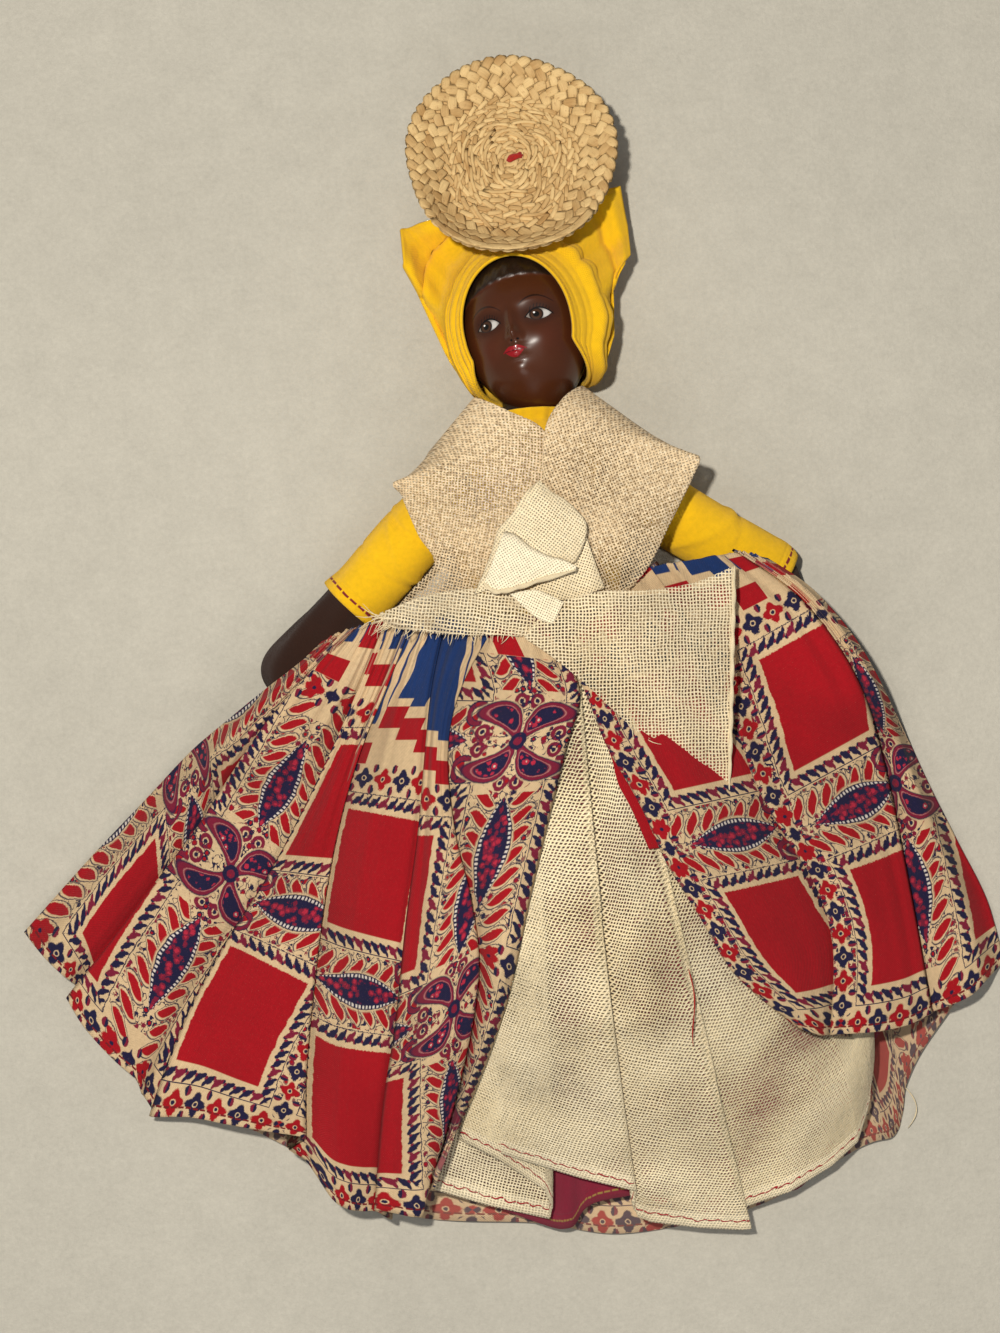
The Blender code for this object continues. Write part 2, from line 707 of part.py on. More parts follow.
def hand_lift(x, y):
    """How far the skirt lies up over the hands of the doll that shows."""
    left = segment_distance(
        x, y, (-SHOULDER_X, SHOULDER_Y), LEFT_HEADING, LEFT_SLEEVE_LENGTH, LEFT_ARM_LENGTH
    )
    right = segment_distance(
        x, y, (SHOULDER_X, SHOULDER_Y), RIGHT_HEADING - math.radians(6),
        RIGHT_SLEEVE_LENGTH / 2, RIGHT_ARM_LENGTH
    )
    rise = HAND_LIFT_LEFT * smooth(1 - (left - HAND_FLAT) / HAND_FALL)
    return max(rise, HAND_LIFT_RIGHT * smooth(1 - (right - HAND_FLAT) / HAND_FALL))


def dome(x, y):
    down = -y / SKIRT_LENGTH
    high = along(DOME_SHARES, (down + 0.1) / 1.1)[0] * DOME_HEIGHT
    wide = DOME_WAIST + (DOME_SKIRT - DOME_WAIST) * smooth(down / 0.3)
    wide += (DOME_HEM - DOME_SKIRT) * smooth((down - 0.55) / 0.4)
    return high * math.exp(-(abs(x / wide) ** DOME_POWER))


def front_height(x, y):
    return SIDE_HEIGHT + math.hypot(dome(x, y), hand_lift(x, y))


def skirt_top(x, y):
    """The highest that the skirt's front reaches at a place, folds included."""
    fold = FOLD_RISE * (0.45 + 0.45 * smooth(-4 * y / SKIRT_LENGTH))
    rise = LAYER_RISE + APRON_COVER * apron_cover(x, y) + fold + PRINT_CLOTH / 2
    return front_height(x, y) + rise


def apron_cover(x, y):
    """1 where the apron's pleats lie, 0 towards the sides."""
    fan = abs(x) / (SKIRT_SPREAD * 0.15 + 0.5 * abs(y))
    return smooth((1.7 - fan) / 0.6)


def patch(top, hem, first, last):
    """A place on the cloth spanned by its four edges, u across and t down."""

    def place(u, t):
        left = along(first, t)
        right = along(last, t)
        high = along(top, u)
        low = along(hem, u)
        spots = []
        for i in (0, 1):
            blend = (1 - u) * left[i] + u * right[i] + (1 - t) * high[i] + t * low[i]
            blend -= (1 - u) * (1 - t) * top[0][i] + u * (1 - t) * top[-1][i]
            blend -= (1 - u) * t * hem[0][i] + u * t * hem[-1][i]
            spots.append(blend)
        return SKIRT_SPREAD * spots[0], SKIRT_LENGTH * spots[1]

    return place


LEFT_FOLDS = 8
RIGHT_FOLDS = 5


def add_front(name, edges, folds, across, side):
    spot = patch(*edges)

    def surface(u, t):
        x, y = spot(u, t)
        seam = u if side < 0 else 1 - u
        wave = (0.5 - 0.5 * math.cos(2 * math.pi * folds * u)) * (0.35 + 0.65 * smooth(t * 1.6))
        edge = smooth(seam / 0.06)
        height = front_height(x, y) + LAYER_RISE + APRON_COVER * apron_cover(x, y)
        height += FOLD_RISE * wave * edge
        low = EDGE_FOLD + hand_lift(x, y)
        return Vector((x, y, low + (height - low) * edge))

    return thicken(put(name, shaped_grid(across, 10, surface), print_cotton), PRINT_CLOTH, 0)


skirt_front_left = add_front(
    "skirt_front_left",
    (LEFT_TOP_SHARES, LEFT_HEM_SHARES, LEFT_EDGE_SHARES, LEFT_FRONT_SHARES),
    LEFT_FOLDS, 36, -1,
)
skirt_front_right = add_front(
    "skirt_front_right",
    (RIGHT_TOP_SHARES, RIGHT_HEM_SHARES, RIGHT_FRONT_SHARES, RIGHT_EDGE_SHARES),
    RIGHT_FOLDS, 22, 1,
)

back_spot = patch(BACK_TOP_SHARES, BACK_HEM_SHARES, BACK_LEFT_SHARES, BACK_RIGHT_SHARES)


def back_surface(u, t):
    x, y = back_spot(u, t)
    return Vector((x, y, PRINT_CLOTH / 2))


skirt_back = thicken(
    put("skirt_back", shaped_grid(26, 6, back_surface), print_cotton), PRINT_CLOTH, 0
)

lining_spot = patch(LINING_TOP_SHARES, LINING_HEM_SHARES, LINING_LEFT_SHARES, LINING_RIGHT_SHARES)
LINING_SEAT = PRINT_CLOTH + LAYER_GAP + LINING_CLOTH / 2


def lining_back_surface(u, t):
    x, y = lining_spot(u, t)
    return Vector((x, y, LINING_SEAT))


def lining_front_surface(u, t):
    x, y = lining_spot(u, t)
    drop = LAYER_RISE + APRON_ROOM * apron_cover(x, y)
    low = LINING_SEAT + LINING_CLOTH + LAYER_GAP
    return Vector((x, y, max(low, SIDE_HEIGHT + dome(x, y) - drop)))


skirt_lining_back = thicken(
    put("skirt_lining_back", shaped_grid(12, 6, lining_back_surface), maroon_cotton),
    LINING_CLOTH, 0,
)
skirt_lining_front = thicken(
    put("skirt_lining_front", shaped_grid(18, 10, lining_front_surface), maroon_cotton),
    LINING_CLOTH, 0,
)

# The gauze apron under the skirt's opening: one cloth laid in pleats.
# Each row: place at the waist across, place at the hem, and its layer
APRON_SHARES = (
    (0.015, -0.094, -0.957, -1.0), (-0.036, -0.310, -0.892, -1.0), (-0.054, -0.357, -0.869, -0.8),
    (-0.058, -0.364, -0.831, 0.0), (-0.054, -0.343, -0.794, 0.8), (-0.036, -0.243, -0.816, 1.0),
    (0.0, -0.086, -0.869, 1.0), (0.043, 0.075, -0.925, 1.0), (0.046, 0.082, -0.928, 0.5),
    (0.042, 0.074, -0.930, 0.0), (0.033, 0.040, -0.932, -0.4), (0.030, 0.036, -0.945, -0.9),
    (0.040, 0.067, -0.967, -1.0), (0.061, 0.171, -0.988, -1.0), (0.083, 0.279, -1.0, -1.0),
    (0.086, 0.287, -1.0, -1.5), (0.081, 0.277, -0.994, -2.0), (0.072, 0.240, -0.978, -2.4),
    (0.070, 0.233, -0.975, -2.9), (0.081, 0.277, -0.963, -3.0), (0.100, 0.393, -0.925, -3.0),
    (0.118, 0.501, -0.875, -3.0), (0.136, 0.58, -0.80, -3.0),
)
APRON_TOP_SHARE = -0.02


def apron_surface(u, t):
    top, hem_x, hem_y, layer = along(APRON_SHARES, u)
    x = SKIRT_SPREAD * (top + (hem_x - top) * t)
    y = SKIRT_LENGTH * (APRON_TOP_SHARE + (hem_y - APRON_TOP_SHARE) * t)
    return Vector((x, y, front_height(x, y) + PLEAT_RISE * layer))


apron_a = thicken(put("apron_a", shaped_grid(44, 7, apron_surface), cream_gauze), GAUZE, 0)

# The shawl: a gauze band round the neck, crossed in front.
# Each row: the inner edge and the outer edge, across and along as shares of the torso's
# length, up as a share of the chest's top
CHEST_TOP = BACK_HEIGHT + 2 * CHEST_HALF_DEPTH
SHAWL_SHARES = (
    ((0.08, 0.13, 1.053), (-0.72, 0.13, 0.761)), ((0.09, 0.34, 1.078), (-0.58, 0.36, 0.953)),
    ((0.09, 0.66, 1.095), (-0.62, 0.585, 0.945)),
    ((0.065, 0.94, 1.104), (-0.655, 0.73, 0.92)), ((-0.11, 1.06, 1.037), (-0.60, 0.835, 0.853)),
    ((-0.26, 1.115, 0.836), (-0.54, 0.895, 0.719)), ((-0.27, 1.125, 0.552), (-0.52, 0.90, 0.502)),
    ((-0.23, 1.115, 0.268), (-0.50, 0.845, 0.234)), ((-0.15, 1.10, 0.05), (-0.42, 0.65, 0.02)),
    ((0.0, 1.09, 0.01), (0.0, 0.385, 0.01)),
    ((0.15, 1.10, 0.05), (0.42, 0.65, 0.02)), ((0.23, 1.115, 0.268), (0.50, 0.845, 0.234)),
    ((0.27, 1.135, 0.552), (0.53, 0.905, 0.502)), ((0.27, 1.135, 0.836), (0.56, 0.90, 0.702)),
    ((0.17, 1.08, 1.095), (0.635, 0.845, 0.836)), ((0.04, 0.94, 1.187), (0.77, 0.74, 0.903)),
    ((0.03, 0.66, 1.187), (0.64, 0.44, 1.003)), ((0.03, 0.15, 1.17), (0.50, 0.17, 1.053)),
)
SHAWL_RISE = 1.2 * MM


def shawl_surface(u, t):
    first = int(min(u, 0.9999) * (len(SHAWL_SHARES) - 1))
    part = u * (len(SHAWL_SHARES) - 1) - first
    spots = []
    for row in (0, 1):
        near, far = SHAWL_SHARES[first][row], SHAWL_SHARES[first + 1][row]
        spots.append([a + (b - a) * part for a, b in zip(near, far)])
    x, y, z = (a + (b - a) * t for a, b in zip(*spots))
    point = Vector((TORSO_LENGTH * x, TORSO_LENGTH * y, CHEST_TOP * z))
    front = smooth((abs(u - 0.5) - 0.25) / 0.15)
    point.z += SHAWL_RISE * front * math.sin(math.pi * t)
    return point


shawl_a = thicken(put("shawl_a", shaped_grid(32, 6, shawl_surface), shawl_gauze), GAUZE, 0)


def add_piece(name, top, low, across, down, crown, thickness, over_skirt=False):
    """A small laid cloth between two rows of places, in the shawl's shares."""

    def surface(u, t):
        near = along(top, u)
        far = along(low, u)
        x, y, z = (a + (b - a) * t for a, b in zip(near, far))
        x *= TORSO_LENGTH
        y *= TORSO_LENGTH
        z = CHEST_TOP * z + crown * math.sin(math.pi * t) * math.sin(math.pi * u)
        if over_skirt and y < SKIRT_LENGTH * SKIRT_START_SHARE:
            z = max(z, skirt_top(x, y) + LAYER_GAP + thickness)
        return Vector((x, y, z))

    return thicken(put(name, shaped_grid(across, down, surface), shawl_gauze), thickness, 0)


# The shawl's crossed ends: a folded bow, a small tab and the two tails
BOW_RISE = 2.2 * MM
TAIL_RISE = 0.8 * MM
BOW_CLOTH = 1.0 * MM
shawl_bow_a = add_piece(
    "shawl_bow_a",
    (
        (0.0, 0.70, 1.229), (-0.10, 0.56, 1.221), (-0.20, 0.40, 1.212),
        (-0.32, 0.25, 1.195), (-0.43, 0.15, 1.179),
    ),
    (
        (0.04, 0.71, 1.229), (0.22, 0.53, 1.229), (0.21, 0.34, 1.229),
        (0.10, 0.25, 1.221), (-0.41, 0.12, 1.179),
    ),
    10, 6, BOW_RISE, BOW_CLOTH,
)
shawl_tab_a = add_piece(
    "shawl_tab_a",
    ((-0.16, 0.145, 1.329), (0.05, 0.19, 1.363)),
    ((-0.03, 0.02, 1.388), (0.03, 0.01, 1.388)),
    3, 3, 0, GAUZE,
)
shawl_tail_left_a = add_piece(
    "shawl_tail_left_a",
    ((-0.08, 0.19, 1.17), (-0.30, 0.165, 1.137), (-0.55, 0.155, 1.003), (-0.83, 0.12, 0.803)),
    ((-0.09, -0.05, 1.262), (-0.30, -0.06, 1.17), (-0.50, -0.04, 1.037), (-0.75, 0.02, 0.769)),
    9, 4, TAIL_RISE, GAUZE, True,
)
shawl_tail_right_a = add_piece(
    "shawl_tail_right_a",
    (
        (0.0, 0.10, 1.338), (0.20, 0.13, 1.321), (0.48, 0.13, 1.237),
        (0.74, 0.14, 1.037), (0.95, 0.12, 0.953),
    ),
    (
        (-0.10, -0.05, 1.338), (0.10, -0.24, 1.371), (0.33, -0.50, 1.371),
        (0.60, -0.74, 1.204), (0.84, -0.86, 0.97),
    ),
    12, 7, TAIL_RISE, GAUZE, True,
)
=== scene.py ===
import math
import random

import bmesh
import bpy
import numpy as np
from mathutils import Euler, Matrix, Vector


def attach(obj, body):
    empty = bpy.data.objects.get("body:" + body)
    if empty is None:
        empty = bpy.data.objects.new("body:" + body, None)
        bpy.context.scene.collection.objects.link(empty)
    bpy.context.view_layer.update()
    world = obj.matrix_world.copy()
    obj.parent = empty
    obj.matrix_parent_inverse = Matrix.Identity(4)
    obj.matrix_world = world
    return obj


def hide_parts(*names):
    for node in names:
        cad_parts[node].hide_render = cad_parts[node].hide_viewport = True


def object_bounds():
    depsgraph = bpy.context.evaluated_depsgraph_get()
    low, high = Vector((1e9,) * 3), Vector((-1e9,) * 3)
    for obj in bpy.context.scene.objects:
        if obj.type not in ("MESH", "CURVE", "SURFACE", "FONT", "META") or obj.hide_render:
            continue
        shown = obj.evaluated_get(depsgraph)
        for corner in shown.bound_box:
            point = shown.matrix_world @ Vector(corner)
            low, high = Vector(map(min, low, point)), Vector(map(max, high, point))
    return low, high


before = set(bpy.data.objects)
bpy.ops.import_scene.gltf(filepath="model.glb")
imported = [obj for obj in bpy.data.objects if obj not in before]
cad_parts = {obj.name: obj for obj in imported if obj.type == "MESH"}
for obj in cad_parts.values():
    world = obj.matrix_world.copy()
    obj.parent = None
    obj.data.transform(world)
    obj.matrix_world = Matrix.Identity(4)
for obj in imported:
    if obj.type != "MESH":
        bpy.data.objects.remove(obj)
CAD_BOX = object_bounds()
MM = 0.001

# The camera looks straight down on the doll, as the photograph does, with the doll's long axis
# turned five degrees in the picture. One pixel of the photograph is 0.259 mm at the height of
# the doll's middle, and spot() gives the place that a pixel shows at any height.
PIXEL = 0.259 * MM
PICTURE = (1000, 1333)
MIDDLE_HEIGHT = 17 * MM
CAMERA_HEIGHT = 850 * MM
CENTRE = Vector((-13.3 * MM, -9.6 * MM))
ACROSS = Vector((0.9962, -0.0872))
UPWARD = Vector((0.0872, 0.9962))


def spot(pixel, height):
    """Where a pixel of the photograph falls at a height above the floor, all in metres."""
    near = 1 - (height - MIDDLE_HEIGHT) / CAMERA_HEIGHT
    side = (pixel[0] - PICTURE[0] / 2) * PIXEL * near
    up = (PICTURE[1] / 2 - pixel[1]) * PIXEL * near
    place = CENTRE + ACROSS * side + UPWARD * up
    return Vector((place.x, place.y, height))


camera_data = bpy.data.cameras.new("camera")
camera = bpy.data.objects.new("camera", camera_data)
bpy.context.scene.collection.objects.link(camera)
camera_data.sensor_width = 36
camera_data.lens = camera_data.sensor_width * CAMERA_HEIGHT / (PICTURE[1] * PIXEL)
camera_data.clip_start = 0.05
camera_data.clip_end = 20
turn = Matrix(((ACROSS.x, UPWARD.x, 0), (ACROSS.y, UPWARD.y, 0), (0, 0, 1)))
camera.matrix_world = Matrix.Translation(
    (CENTRE.x, CENTRE.y, MIDDLE_HEIGHT + CAMERA_HEIGHT)
) @ turn.to_4x4()
bpy.context.scene.camera = camera
bpy.context.scene.view_settings.view_transform = "Standard"

# Light: one lamp near the camera on its upper left, so that shadows are short, a weaker soft
# one from below the hem and a pale world, at a level where a colour shows about as written.
world = bpy.data.worlds.new("studio")
bpy.context.scene.world = world
world.use_nodes = True
world.node_tree.nodes["Background"].inputs["Color"].default_value = (0.9, 0.95, 1.0, 1)
world.node_tree.nodes["Background"].inputs["Strength"].default_value = 0.21


def lamp(name, place, size, watts, colour):
    data = bpy.data.lights.new(name, "AREA")
    data.shape = "DISK"
    data.size = size
    data.energy = watts
    data.color = colour
    made = bpy.data.objects.new(name, data)
    made.location = place
    made.rotation_euler = (-Vector(place)).to_track_quat("-Z", "Y").to_euler()
    bpy.context.scene.collection.objects.link(made)


lamp("key_lamp", (-0.115, 0.10, 0.87), 0.035, 7.9, (1.0, 0.95, 0.86))
lamp("fill_lamp", (-0.05, -0.45, 0.6), 0.5, 1.0, (1.0, 0.97, 0.92))


# The floor: a pale warm grey cloth with a fine knitted grain, spread under the doll. Its
# material is the first one, so what all patterns are written with comes here.
class Term:
    """One value of a shader, so that a pattern can be written as a sum."""

    tree = None

    def __init__(self, value):
        self.value = value

    def plug(self, socket):
        if isinstance(self.value, (int, float)):
            socket.default_value = self.value
        else:
            Term.tree.links.new(self.value, socket)

    @staticmethod
    def math(kind, *terms, clamp=False):
        node = Term.tree.nodes.new("ShaderNodeMath")
        node.operation = kind
        node.use_clamp = clamp
        for socket, term in zip(node.inputs, terms):
            (term if isinstance(term, Term) else Term(term)).plug(socket)
        return Term(node.outputs[0])

    def __add__(self, other):
        return Term.math("ADD", self, other)

    def __radd__(self, other):
        return Term.math("ADD", self, other)

    def __sub__(self, other):
        return Term.math("SUBTRACT", self, other)

    def __rsub__(self, other):
        return Term.math("SUBTRACT", other, self)

    def __mul__(self, other):
        return Term.math("MULTIPLY", self, other)

    def __rmul__(self, other):
        return Term.math("MULTIPLY", self, other)

    def __truediv__(self, other):
        return Term.math("DIVIDE", self, other)

    def __abs__(self):
        return Term.math("ABSOLUTE", self)

    def below(self, limit, soft=0.12):
        """1 below the limit and 0 above it, with a soft edge that wide."""
        return Term.math("MULTIPLY_ADD", self, -1 / soft, limit / soft + 0.5, clamp=True)

    def beyond(self, limit, soft=0.12):
        """1 above the limit and 0 below it."""
        return Term.math("MULTIPLY_ADD", self, 1 / soft, -limit / soft + 0.5, clamp=True)


def least(a, b):
    return Term.math("MINIMUM", a, b)


def most(a, b):
    return Term.math("MAXIMUM", a, b)


def length(a, b):
    return Term.math("SQRT", a * a + b * b)


def every(term, pitch, ahead=100):
    """How far a run is into its repeat; ahead keeps the run above zero."""
    return Term.math("MODULO", term + ahead, pitch)


def start_material(name):
    """A new material, its shader, and the cloth's own coordinates in millimetres."""
    made = bpy.data.materials.new(name)
    made.use_nodes = True
    Term.tree = made.node_tree
    shader = made.node_tree.nodes["Principled BSDF"]
    shader.inputs["Specular IOR Level"].default_value = 0.2
    source = made.node_tree.nodes.new("ShaderNodeUVMap")
    source.uv_map = "flat"
    split = made.node_tree.nodes.new("ShaderNodeSeparateXYZ")
    made.node_tree.links.new(source.outputs[0], split.inputs[0])
    return made, shader, source.outputs[0], Term(split.outputs[0]), Term(split.outputs[1])


def noise(where, scale, detail=2.0, rough=0.5):
    node = Term.tree.nodes.new("ShaderNodeTexNoise")
    Term.tree.links.new(where, node.inputs["Vector"])
    node.inputs["Scale"].default_value = scale
    node.inputs["Detail"].default_value = detail
    node.inputs["Roughness"].default_value = rough
    return Term(node.outputs["Fac"])


def object_place():
    return Term.tree.nodes.new("ShaderNodeTexCoord").outputs["Object"]


def paint(base, colour, share):
    """base with a colour laid over it where share is 1; each is a colour or a socket."""
    node = Term.tree.nodes.new("ShaderNodeMix")
    node.data_type = "RGBA"
    for socket, value in ((node.inputs[6], base), (node.inputs[7], colour)):
        if isinstance(value, tuple):
            socket.default_value = (*value, 1)
        else:
            Term.tree.links.new(value, socket)
    share.plug(node.inputs[0])
    return node.outputs[2]


def coats(colour, *layers):
    """A colour with others laid over it in turn, each given as (colour, share)."""
    for over, share in layers:
        colour = paint(colour, over, share)
    return colour


def tint(base, amount):
    """base made lighter or darker by a term around 1."""
    node = Term.tree.nodes.new("ShaderNodeMix")
    node.data_type = "RGBA"
    node.blend_type = "MULTIPLY"
    node.inputs[0].default_value = 1
    if isinstance(base, tuple):
        node.inputs[6].default_value = (*base, 1)
    else:
        Term.tree.links.new(base, node.inputs[6])
    amount.plug(node.inputs[7])
    return node.outputs[2]


def bump(shader, height, distance, strength=1.0):
    node = Term.tree.nodes.new("ShaderNodeBump")
    node.inputs["Distance"].default_value = distance
    node.inputs["Strength"].default_value = strength
    height.plug(node.inputs["Height"])
    Term.tree.links.new(node.outputs[0], shader.inputs["Normal"])


def weave(s, t, pitch):
    """A plain weave's height, from 0 between the threads to 1 on them, s and t in mm."""
    turn = 2 * math.pi / pitch
    over = Term.math("SINE", s * turn) * Term.math("SINE", t * turn)
    thread = Term.math("COSINE", s * (2 * turn)) + Term.math("COSINE", t * (2 * turn))
    return over * 0.35 + thread * -0.16 + 0.5


bpy.ops.mesh.primitive_plane_add(size=6)
floor = bpy.context.object
floor.name = "floor"
look, shader, _, _, _ = start_material("floor_cloth")
place = object_place()
grain = noise(place, 700, 4, 0.8) * 0.8 + noise(place, 120, 4, 0.7) * 0.5 + noise(place, 12, 3) * 0.4
shade = tint((0.45, 0.425, 0.365), grain * 0.46 + 0.61)
Term.tree.links.new(shade, shader.inputs["Base Color"])
shader.inputs["Roughness"].default_value = 0.95
bump(shader, noise(place, 900, 3, 0.7), 0.0006, 0.5)
floor.data.materials.append(look)

# The skirt's printed cotton: red squares with leaf borders, narrow strips of flowers and wide
# bands with feather and teardrop ornaments, and blue and red blocks along the waist. It is a
# plain weave, printed on one side, and the other side shows a paler ghost of the print.
CREAM = (0.68, 0.49, 0.285)
RED = (0.37, 0.003, 0.009)
MAROON = (0.20, 0.010, 0.035)
NAVY = (0.012, 0.010, 0.045)
BLUE = (0.010, 0.035, 0.14)
BERRY = (0.45, 0.02, 0.05)
# The print's measures in mm: half its repeat, a square's middle and half sides, where the flower
# strips begin, and the pitch of the leaves, the feathers' petals and the strips' flowers
HALF_REPEAT = (49.0, 55.0)
SQUARE_MIDDLE = (27.5, 30.5)
SQUARE_HALF = (12.5, 15.5)
STRIP_FROM = (44.6, 50.6)
LEAF_PITCH, PETAL_PITCH, FLOWER_PITCH = 2.9, 5.0, 6.4
# The side by the opening is cut from further along the print: its run is written 980 mm on, its
# height 45 mm up, and its blocks at the waist start 73 mm later
OTHER_CUT = 600.0
OTHER_RISE = 45.0
OTHER_WAIST = 73.0
WAIST_FROM = 117


def print_material(name, fade):
    look, shader, flat, s, t = start_material(name)
    wobble = noise(flat, 0.35, 2) - 0.5
    rough_edge = noise(flat, 2.2, 2) - 0.5
    a = Term.math("PINGPONG", s + wobble * 1.1, HALF_REPEAT[0])
    b = Term.math("PINGPONG", t - 58 + rough_edge * 0.5, HALF_REPEAT[1])
    # distance from the square's edge, and the run along its border
    dx = abs(a - SQUARE_MIDDLE[0]) - SQUARE_HALF[0]
    dy = abs(b - SQUARE_MIDDLE[1]) - SQUARE_HALF[1]
    square = most(dx, dy) + rough_edge * 0.5
    side = Term.math("GREATER_THAN", dx, dy)
    run = b * side + a * (1 - side)
    # leaf border, every fourth leaf maroon, with a thin line round it
    cell = every(run + (square - 2.9) * 0.45, LEAF_PITCH) - LEAF_PITCH / 2
    lobe = length(cell / 1.12, (square - 2.7) / 1.14) + rough_edge * 0.5
    lobe = least(lobe, length((cell - 0.8) / 0.72, (square - 1.95) / 0.7))
    lobe = least(lobe, length((cell + 0.6) / 0.5, (square - 3.75) / 0.85))
    small = length((cell + 1.2) / 0.42, (square - 2.3) / 0.5)
    odd = Term.math("MODULO", Term.math("FLOOR", (run + 100) / LEAF_PITCH), 4.0).below(0.5)
    colour = coats(
        CREAM,
        (RED, square.below(0.0, 0.25)),
        (NAVY, lobe.below(1.0, 0.25) * (1 - odd)),
        (MAROON, most(lobe.below(1.0, 0.25) * odd, small.below(1.0, 0.3))),
        (NAVY, abs(square - 4.75).below(0.13, 0.12)),
    )
    # scattered dots, which the ornaments and the ground share
    cells = Term.tree.nodes.new("ShaderNodeTexVoronoi")
    cells.inputs["Scale"].default_value = 0.52
    cells.inputs["Randomness"].default_value = 0.75
    Term.tree.links.new(flat, cells.inputs["Vector"])
    spots = Term(cells.outputs["Distance"])
    pick = Term.tree.nodes.new("ShaderNodeSeparateXYZ")
    Term.tree.links.new(cells.outputs["Color"], pick.inputs[0])
    tone = Term(pick.outputs[0])
    # wide bands: a feather on each side of the crossing, with petals round it
    p = least(a, b)
    q = most(a, b)
    band = p.below(9.3) * q.beyond(13.2)
    bow = 1 - Term.math("POWER", abs(q - 28) / 14.0, 1.8)
    half = most(bow, 0.0) * 4.7 * (1.45 - q * 0.016)
    share = p / most(half, 0.05)
    feather = bow.beyond(0.0, 0.02) * share.below(1.0, 0.06) * band
    lean = every(q + p * 0.6, PETAL_PITCH) - PETAL_PITCH / 2
    point = (p - 5.5 + lean * 0.35) / 3.9
    petal = abs(lean) / 2.4 + point * point + rough_edge * 0.12
    petal_zone = p.beyond(1.2) * share.beyond(1.12) * band
    beads = every(q, 1.15).below(0.62, 0.2)
    seed = (spots + rough_edge * 0.5) * (1 + share)
    colour = coats(
        colour,
        (NAVY, petal.below(1.0, 0.1) * petal_zone),
        (CREAM, petal.below(0.87, 0.1) * petal_zone),
        (RED, petal.below(0.64, 0.1) * petal_zone),
        (NAVY, feather),
        ((0.7, 0.62, 0.55), feather * abs(share - 0.84).below(0.09, 0.06) * beads),
        (MAROON, feather * seed.below(0.66, 0.1) * share.below(0.66)),
        (BERRY, feather * seed.below(0.40, 0.08) * share.below(0.66)),
    )
    # crossings: four curled teardrops that meet in a small flower, with rings between them
    out = (a + b) * 0.7071
    off = (a - b) * 0.7071
    curl = off - (out - 6) * (out - 6) * 0.06 + 1.3
    drop = length(curl / (1.6 + out * 0.24), (out - 8.0) / 7.4)
    cross = out.below(17.5) * q.below(14.4)
    within = cross * drop.below(0.56, 0.06)
    bud = spots + rough_edge * 0.4
    tail = abs(length(out - 14.4, off - 4.6) - 2.6 + rough_edge * 0.4)
    tail_zone = q.below(16.5) * drop.beyond(1.06) * (out + off * 0.6).beyond(14.5)
    heart = length(a, b)
    hook = least(length(a - 10.6, b - 2.2), length(b - 10.6, a - 2.2))
    hook_zone = q.below(13.4) * drop.beyond(1.08)
    colour = coats(
        colour,
        (NAVY, drop.below(1.0, 0.1) * cross),
        (MAROON, drop.below(0.92, 0.08) * cross),
        ((0.42, 0.16, 0.15), abs(drop - 0.69).below(0.025, 0.04) * cross),
        (NAVY, drop.below(0.63, 0.06) * cross),
        (BERRY, within * bud.below(0.42, 0.08)),
        ((0.62, 0.50, 0.42), within * bud.below(0.17, 0.05)),
        (NAVY, tail.below(0.85, 0.12) * tail_zone),
        (MAROON, tail.below(0.58, 0.12) * tail_zone),
        (NAVY, heart.below(2.3, 0.2)),
        (MAROON, heart.below(1.1, 0.2)),
        (MAROON, abs(hook - 1.5).below(0.55, 0.2) * hook_zone),
        (NAVY, hook.below(0.6, 0.2) * hook_zone),
    )
    # small sprigs and vines on the cream ground of the wide bands and the strips
    free = square.beyond(5.2) * (1 - feather) * drop.beyond(1.1)
    free = free * petal.beyond(1.05) * q.below(47.5)
    sprig = (spots + rough_edge * 0.55).below(0.45, 0.05) * free
    colour = coats(
        colour,
        (MAROON, sprig * tone.below(0.55)),
        (NAVY, sprig * tone.beyond(0.55)),
        (RED, (spots + rough_edge * 0.3).below(0.24, 0.05) * free),
        (NAVY, abs(noise(flat, 0.42, 1) - 0.5).below(0.02, 0.012) * free * (1 - sprig)),
    )
    # narrow strips: flowers of petals round a dot, red and navy in turn, and leaves between them
    strip = most(a - STRIP_FROM[0], b - STRIP_FROM[1]).beyond(0)
    upright = Term.math("GREATER_THAN", a - STRIP_FROM[0], b - STRIP_FROM[1])
    run = b * upright + a * (1 - upright)
    along = every(run, FLOWER_PITCH) - FLOWER_PITCH / 2
    deep = (HALF_REPEAT[0] - a) * upright + (HALF_REPEAT[1] - b) * (1 - upright)
    far = length(along, deep)
    petals = Term.math("COSINE", Term.math("ARCTAN2", deep, along) * 4) * 0.55 + 2.45 + rough_edge * 1.1
    bloom = (far / petals).below(1.0, 0.15) * far.beyond(0.75, 0.2) * strip
    other = Term.math("MODULO", Term.math("FLOOR", (run + 100) / FLOWER_PITCH), 2.0)
    between = length((abs(along) - 3.2) / 0.85, (deep - 2.9) / 1.25) + rough_edge * 0.6
    between = between.below(1.0, 0.2) * strip
    colour = coats(
        colour,
        (RED, bloom * other.below(0.5)),
        (NAVY, bloom * other.beyond(0.5)),
        (NAVY, far.below(0.5, 0.2) * strip),
        (NAVY, between * other.below(0.5)),
        (MAROON, between * other.beyond(0.5)),
    )
